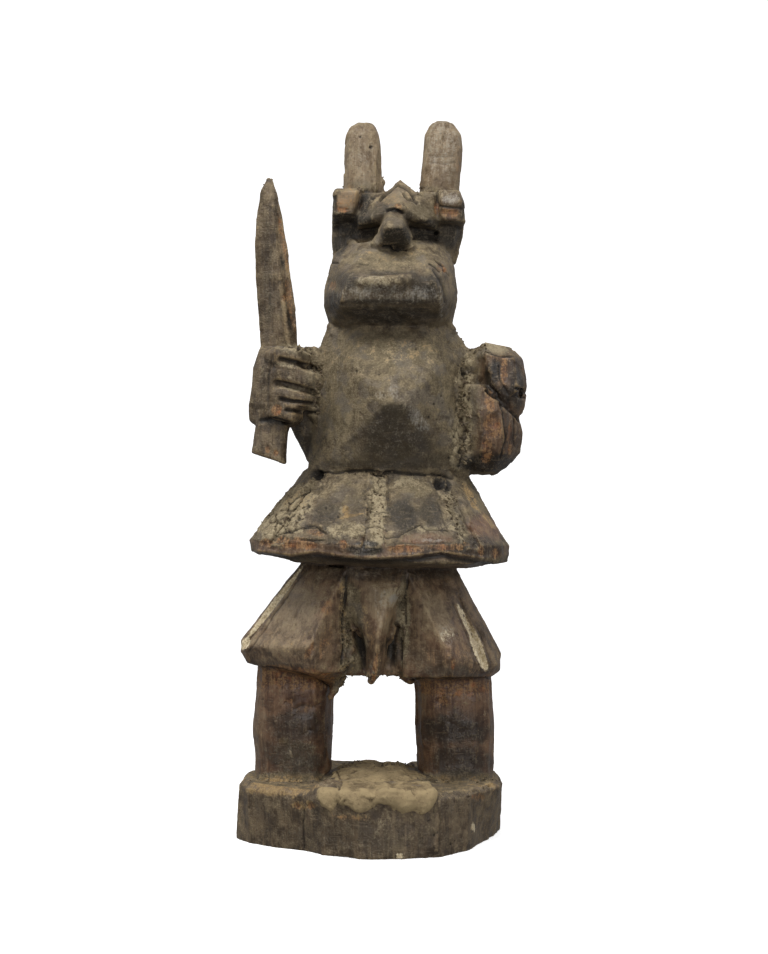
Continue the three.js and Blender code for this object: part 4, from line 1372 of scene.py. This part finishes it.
# A colour as it looks on a screen, 0 to 255, for a shader.
def paint(red, green, blue):
    parts = [c / 255 for c in (red, green, blue)]
    return (*[c / 12.92 if c <= 0.04045 else ((c + 0.055) / 1.055) ** 2.4 for c in parts], 1)


woodColours = {
    "umberDark": paint(70, 57, 43),
    "umberLight": paint(120, 101, 77),
    "redDark": paint(88, 61, 46),
    "redLight": paint(140, 108, 82),
    "crustDark": paint(108, 96, 73),
    "crustLight": paint(148, 133, 104),
    "dryDark": paint(132, 118, 91),
    "dryLight": paint(180, 165, 135),
    # Soot, also used as painted shade.
    "sootAndShadeDark": paint(36, 33, 29),
    "sootAndShadeLight": paint(104, 95, 82),
    "tanDark": paint(120, 100, 76),
    "tanLight": paint(172, 151, 120),
    "clayDark": paint(190, 168, 128),
    "clayLight": paint(244, 228, 194),
    "bareDark": paint(90, 62, 42),
    "bareLight": paint(164, 126, 86),
    "bareOrange": paint(176, 106, 58),
    "crustGrey": paint(118, 110, 99),
    "ochreDark": paint(128, 104, 70),
    "ochreLight": paint(184, 154, 106),
    "bloomAndSheen": paint(168, 163, 153),
    # The dark of the cracks, also painted into hollows as shade.
    "crack": paint(26, 22, 18),
}

# How fine the wood's patterns are, in waves to the metre.
woodPatterns = {
    "broad": 42,
    "greyCrust": 75,
    "mottle": 95,
    "orangeWood": 150,
    "middle": 190,
    "grain": 380,
    "pits": 430,
    "fine": 760,
    "grit": 820,
    "scratches": 900,
    "fibre": 1200,
}

woodFinish = {
    "grainStretch": (1, 1, 0.07),
    "scratchStretch": (0.12, 0.12, 1),
    "bump": 0.85,
    "bumpHeight": 0.001,     # metres
    "shine": 0.4,
}


def crustedWood():
    print("material: crusted wood")
    s = Shades("crustedWood")
    c, size = woodColours, woodPatterns
    place = s.add("ShaderNodeTexCoord").outputs["Object"]
    along = s.stretched(place, woodFinish["grainStretch"])
    broad = s.noise(place, size["broad"], 3)
    middle = s.noise(place, size["middle"], 4, 0.6)
    fine = s.noise(place, size["fine"], 4, 0.65)
    grain = s.noise(along, size["grain"], 5, 0.6)
    fibre = s.noise(along, size["fibre"], 3, 0.6)

    speckle = s.maths("SUBTRACT", s.mixed(middle, 0.6, fine, 0.6), 0.6)
    streak = s.maths("SUBTRACT", s.mixed(grain, 0.7, fibre, 0.4), 0.55)
    cloud = s.maths("SUBTRACT", s.mixed(broad, 0.6, middle, 0.5), 0.55)

    pits = s.ramp(s.noise(place, size["pits"], 6, 0.75), 0.4, 0.34)
    grit = s.ramp(s.noise(place, size["grit"], 3, 0.6), 0.6, 0.68)
    level = s.stretched(place, woodFinish["scratchStretch"])
    scratches = s.ramp(s.noise(level, size["scratches"], 2, 0.5), 0.62, 0.7)
    mottle = s.maths("SUBTRACT", s.noise(place, size["mottle"], 5, 0.62), 0.5)

    # A coat's dark and light, mixed by a pattern.
    def tone(name, pattern, low, high, most=1):
        return s.blend(s.ramp(pattern, low, high, 0, most), c[name + "Dark"], c[name + "Light"])

    colour = tone("umber", s.mixed(streak, 0.8, mottle, 0.9), -0.16, 0.16)
    redCover = s.cover("red", mottle, 0.9, 0.15, 0.9)
    colour = s.blend(redCover, colour, tone("red", s.mixed(streak, 0.5, mottle, 0.7), -0.15, 0.15))
    tanCover = s.cover("tan", cloud, 1.0, 0.15, 0.95)
    colour = s.blend(tanCover, colour, tone("tan", s.mixed(streak, 0.55, mottle, 0.7), -0.14, 0.14))

    crustTone = tone("crust", s.mixed(speckle, 0.9, mottle, 0.4), -0.2, 0.2)
    greyShare = s.ramp(s.noise(place, size["greyCrust"], 4), 0.48, 0.62, 0, 0.6)
    crustTone = s.blend(greyShare, crustTone, c["crustGrey"])
    crustCover = s.cover("crust", s.mixed(speckle, 0.8, mottle, 0.5), 1.2, 0.1, 0.8, 0.95)
    colour = s.blend(crustCover, colour, crustTone)
    # The dry coat: pale crust, and painted highlights on the fingers and the pendant.
    dryCover = s.cover("dry", s.mixed(speckle, 0.8, cloud, 1.2), 1.6, 0.25, 0.75)
    colour = s.blend(dryCover, colour, tone("dry", s.mixed(speckle, 1, cloud, 0.4), -0.16, 0.16))
    grit = s.maths("MULTIPLY", grit, s.maths("ADD", s.mixed(crustCover, 0.35, dryCover, 0.3), 0.12))
    colour = s.blend(grit, colour, c["dryLight"])
    ochreCover = s.cover("ochre", s.mixed(speckle, 1.2, mottle, 0.8), 1.5, 0.3, 0.85, 0.9)
    colour = s.blend(ochreCover, colour, tone("ochre", s.mixed(speckle, 1, streak, 0.4), -0.16, 0.16))
    # The black coat: soot and grease, and painted shade under overhangs and in hollows.
    blackCover = s.cover("black", s.mixed(speckle, 0.7, mottle, 0.7), 0.9, 0.08, 0.95, 0.9)
    colour = s.blend(blackCover, colour, tone("sootAndShade", s.mixed(speckle, 1, streak, 0.5), 0, 0.14, 0.75))
    # Grey-white bloom, with painted highlights and sheen.
    bloomAndSheenCover = s.cover("pale", s.mixed(speckle, 1, streak, 1), 1.6, 0.25, 1.1, 0.8)
    colour = s.blend(bloomAndSheenCover, colour, c["bloomAndSheen"])

    bareTone = tone("bare", s.mixed(streak, 1, speckle, 1.1), -0.14, 0.16)
    orangeShare = s.ramp(s.noise(place, size["orangeWood"], 3), 0.52, 0.7, 0, 0.45)
    bareTone = s.blend(orangeShare, bareTone, c["bareOrange"])
    bareCover = s.cover("bare", s.mixed(streak, 1, speckle, 1), 1.3, 0.22, 0.85, 0.92)
    colour = s.blend(bareCover, colour, bareTone)
    worn = s.ramp(s.mixed(s.field("edge"), 1, s.mixed(speckle, 1, streak, 1), 1.2), 0.25, 0.95, 0, 0.42)
    colour = s.blend(worn, colour, s.blend(crustCover, c["ochreLight"], c["dryLight"]))
    colour = s.blend(s.maths("MULTIPLY", scratches, 0.18), colour, c["tanLight"])
    # Painted shade: the hollows darken towards the crack colour. So do the narrow cuts, holes and cracks,
    # partly dirt and partly painted shade, and the pits.
    paintedHollowShade = s.ramp(s.maths("MULTIPLY", s.field("edge"), -1), 0.05, 0.9, 0, 0.55)
    dark = s.maths("MAXIMUM", paintedHollowShade, s.maths("MULTIPLY", s.field("lines"), 0.85))
    dark = s.maths("MAXIMUM", dark, s.maths("MULTIPLY", pits, 0.3))
    colour = s.blend(dark, colour, c["crack"])
    clayCover = s.cover("clay", speckle, 0.9, 0.25, 0.6)
    colour = s.blend(clayCover, colour, tone("clay", s.mixed(middle, 0.5, fine, 0.5), 0.4, 0.6))

    rough = s.ramp(middle, 0.35, 0.65, 0.42, 0.56)
    rough = s.maths("SUBTRACT", rough, s.mixed(redCover, 0.08, bloomAndSheenCover, 0.08))
    rough = s.maths("ADD", rough, s.mixed(crustCover, 0.3, dryCover, 0.2))
    rough = s.maths("SUBTRACT", rough, s.maths("MULTIPLY", blackCover, 0.08))
    height = s.maths("MULTIPLY", fine, s.mixed(crustCover, 0.6, 1.0, 0.12))
    height = s.maths("ADD", height, s.mixed(grain, 0.35, middle, 0.5))
    height = s.maths("SUBTRACT", height, s.mixed(pits, 0.5, scratches, 0.15))
    s.finish(colour, rough, height, woodFinish)
    return s.material


offeringColours = {
    "deep": paint(112, 96, 72),
    "usual": paint(155, 136, 102),
    "dry": paint(178, 157, 119),
    "edge": paint(184, 162, 124),
}

offeringPatterns = {
    "broad": 60,
    "middle": 230,
    "smear": 420,
    "grit": 520,
    "fine": 900,
}

offeringFinish = {
    "smearStretch": (1, 0.25, 1),
    "roughness": 0.88,
    "bump": 0.8,
    "bumpHeight": 0.0009,    # metres
    "shine": 0.3,
}


def driedOffering():
    print("material: dried offering")
    s = Shades("driedOffering")
    c, size = offeringColours, offeringPatterns
    place = s.add("ShaderNodeTexCoord").outputs["Object"]
    broad = s.noise(place, size["broad"], 4)
    middle = s.noise(place, size["middle"], 4, 0.6)
    fine = s.noise(place, size["fine"], 4, 0.65)
    smear = s.noise(s.stretched(place, offeringFinish["smearStretch"]), size["smear"], 3)
    tone = s.maths("ADD", s.mixed(broad, 0.45, middle, 0.3), s.mixed(fine, 0.15, smear, 0.2))
    colour = s.blend(s.ramp(tone, 0.42, 0.57), c["deep"], c["usual"])
    colour = s.blend(s.ramp(broad, 0.54, 0.7, 0, 0.5), colour, c["dry"])
    colour = s.blend(s.maths("MULTIPLY", s.field("upright"), 0.5), colour, c["edge"])
    grit = s.ramp(s.noise(place, size["grit"], 5, 0.7), 0.42, 0.34, 0, 0.6)
    # Dark grit and the crack, with the valley darkened slightly as painted shade.
    dark = s.maths("MAXIMUM", grit, s.maths("MULTIPLY", s.field("lines"), 0.6))
    colour = s.blend(dark, colour, woodColours["umberDark"])
    colour = s.blend(s.ramp(s.field("edge"), 0.05, 0.6, 0, 0.7), colour, c["dry"])
    # Painted shade in the dough's hollows.
    paintedHollowShade = s.ramp(s.maths("MULTIPLY", s.field("edge"), -1), 0.03, 0.5, 0, 0.5)
    colour = s.blend(paintedHollowShade, colour, woodColours["umberDark"])
    height = s.maths("ADD", s.mixed(fine, 0.7, middle, 0.7), s.maths("MULTIPLY", smear, 0.5))
    s.finish(colour, offeringFinish["roughness"], height, offeringFinish)
    return s.material


studio = {
    "floorReach": 4.0,       # metres
    "wallHeight": 3.0,
    "curve": 0.8,
    "curveSegments": 16,
    "floorColour": (0.85, 0.85, 0.85, 1),
    "floorRoughness": 0.9,
    "floorGlow": 0.7,
    "lightsAim": (0.01, 0, 0.25),
    "skyAbove": 0.3,
    "skyBelow": 0.23,
}

# The lights: place and size in metres, power in watts.
lamps = {
    "key": ((-0.3, -0.8, 1.75), 0.9, 22.5),
    "fill": ((0.35, -1.9, 0.35), 1.4, 15),
    "sheenLeft": ((-1.5, 0.5, 1.3), 1.4, 6),
    "sheenRight": ((1.5, 0.5, 1.3), 1.4, 6),
}


def makeStage():
    print("stage: floor and wall")
    bpy.ops.object.select_all(action="DESELECT")
    bpy.ops.mesh.primitive_plane_add(size=1, location=(0, 0, 0))
    floor = bpy.context.active_object
    floor.name = "floor"
    reach = studio["floorReach"]
    bpy.ops.object.mode_set(mode="EDIT")
    bpy.ops.mesh.select_all(action="SELECT")
    bpy.ops.transform.resize(value=(reach * 2, reach, 1))
    bpy.ops.object.mode_set(mode="OBJECT")
    for vertex in floor.data.vertices:
        vertex.select = vertex.co.y > reach / 2 - 0.01
    for edge in floor.data.edges:
        edge.select = all(floor.data.vertices[i].select for i in edge.vertices)
    bpy.ops.object.mode_set(mode="EDIT")
    bpy.ops.mesh.select_mode(type="EDGE")
    bpy.ops.mesh.extrude_region_move(TRANSFORM_OT_translate={"value": (0, 0, studio["wallHeight"])})
    bpy.ops.object.mode_set(mode="OBJECT")
    applied(floor, "BEVEL", width=studio["curve"], segments=studio["curveSegments"], limit_method="ANGLE")
    bpy.ops.object.shade_smooth()
    s = Shades("paleFloor")
    s.surface.inputs["Base Color"].default_value = studio["floorColour"]
    s.surface.inputs["Roughness"].default_value = studio["floorRoughness"]
    s.surface.inputs["Emission Color"].default_value = (1, 1, 1, 1)
    s.surface.inputs["Emission Strength"].default_value = studio["floorGlow"]
    floor.data.materials.append(s.material)
    floor.visible_diffuse = False
    floor.visible_glossy = False


def addLight(name, place, size, power):
    light = bpy.data.lights.new(name, "AREA")
    light.shape = "DISK"
    light.size = size
    light.energy = power
    lamp = bpy.data.objects.new(name, light)
    lamp.location = place
    lamp.rotation_euler = (Vector(studio["lightsAim"]) - Vector(place)).to_track_quat("-Z", "Y").to_euler()
    bpy.context.scene.collection.objects.link(lamp)


def makeLights():
    print("lights and sky")
    for name, (place, size, power) in lamps.items():
        addLight(name, place, size, power)
    world = bpy.data.worlds.new("softSky")
    world.use_nodes = True
    tree = world.node_tree
    way = tree.nodes.new("ShaderNodeTexCoord")
    split = tree.nodes.new("ShaderNodeSeparateXYZ")
    fade = tree.nodes.new("ShaderNodeMapRange")
    tree.links.new(way.outputs["Generated"], split.inputs[0])
    tree.links.new(split.outputs[2], fade.inputs[0])
    for i, value in enumerate((-1, 1, studio["skyBelow"], studio["skyAbove"]), start=1):
        fade.inputs[i].default_value = value
    tree.links.new(fade.outputs[0], tree.nodes["Background"].inputs["Color"])
    bpy.context.scene.world = world


def makeCamera():
    print("camera: where the photograph was taken from")
    camera = bpy.data.cameras.new("camera")
    camera.sensor_width = view["sensor"]
    frameHeight = view["millimetresPerPixel"] * view["pictureHeight"]
    camera.lens = view["sensor"] * view["distance"] / frameHeight
    stand = bpy.data.objects.new("camera", camera)
    across, up = view["centre"]
    stand.location = (across / 1000, -view["distance"] / 1000, up / 1000)
    stand.rotation_euler = (math.radians(90), 0, 0)
    bpy.context.scene.collection.objects.link(stand)
    bpy.context.scene.camera = stand
    bpy.context.scene.view_settings.view_transform = "Standard"


def finishPiece(piece, material):
    piece.data.materials.clear()
    piece.data.materials.append(material)
    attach(piece, "root")


wood = crustedWood()
figure = startFigure()
carveFigure(figure)
finishPiece(figure, wood)
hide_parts("ikenga_figure")
dough = makeMound()
finishPiece(dough, driedOffering())
finishPiece(makeCrumbs([figure, dough]), wood)
makeStage()
makeLights()
makeCamera()
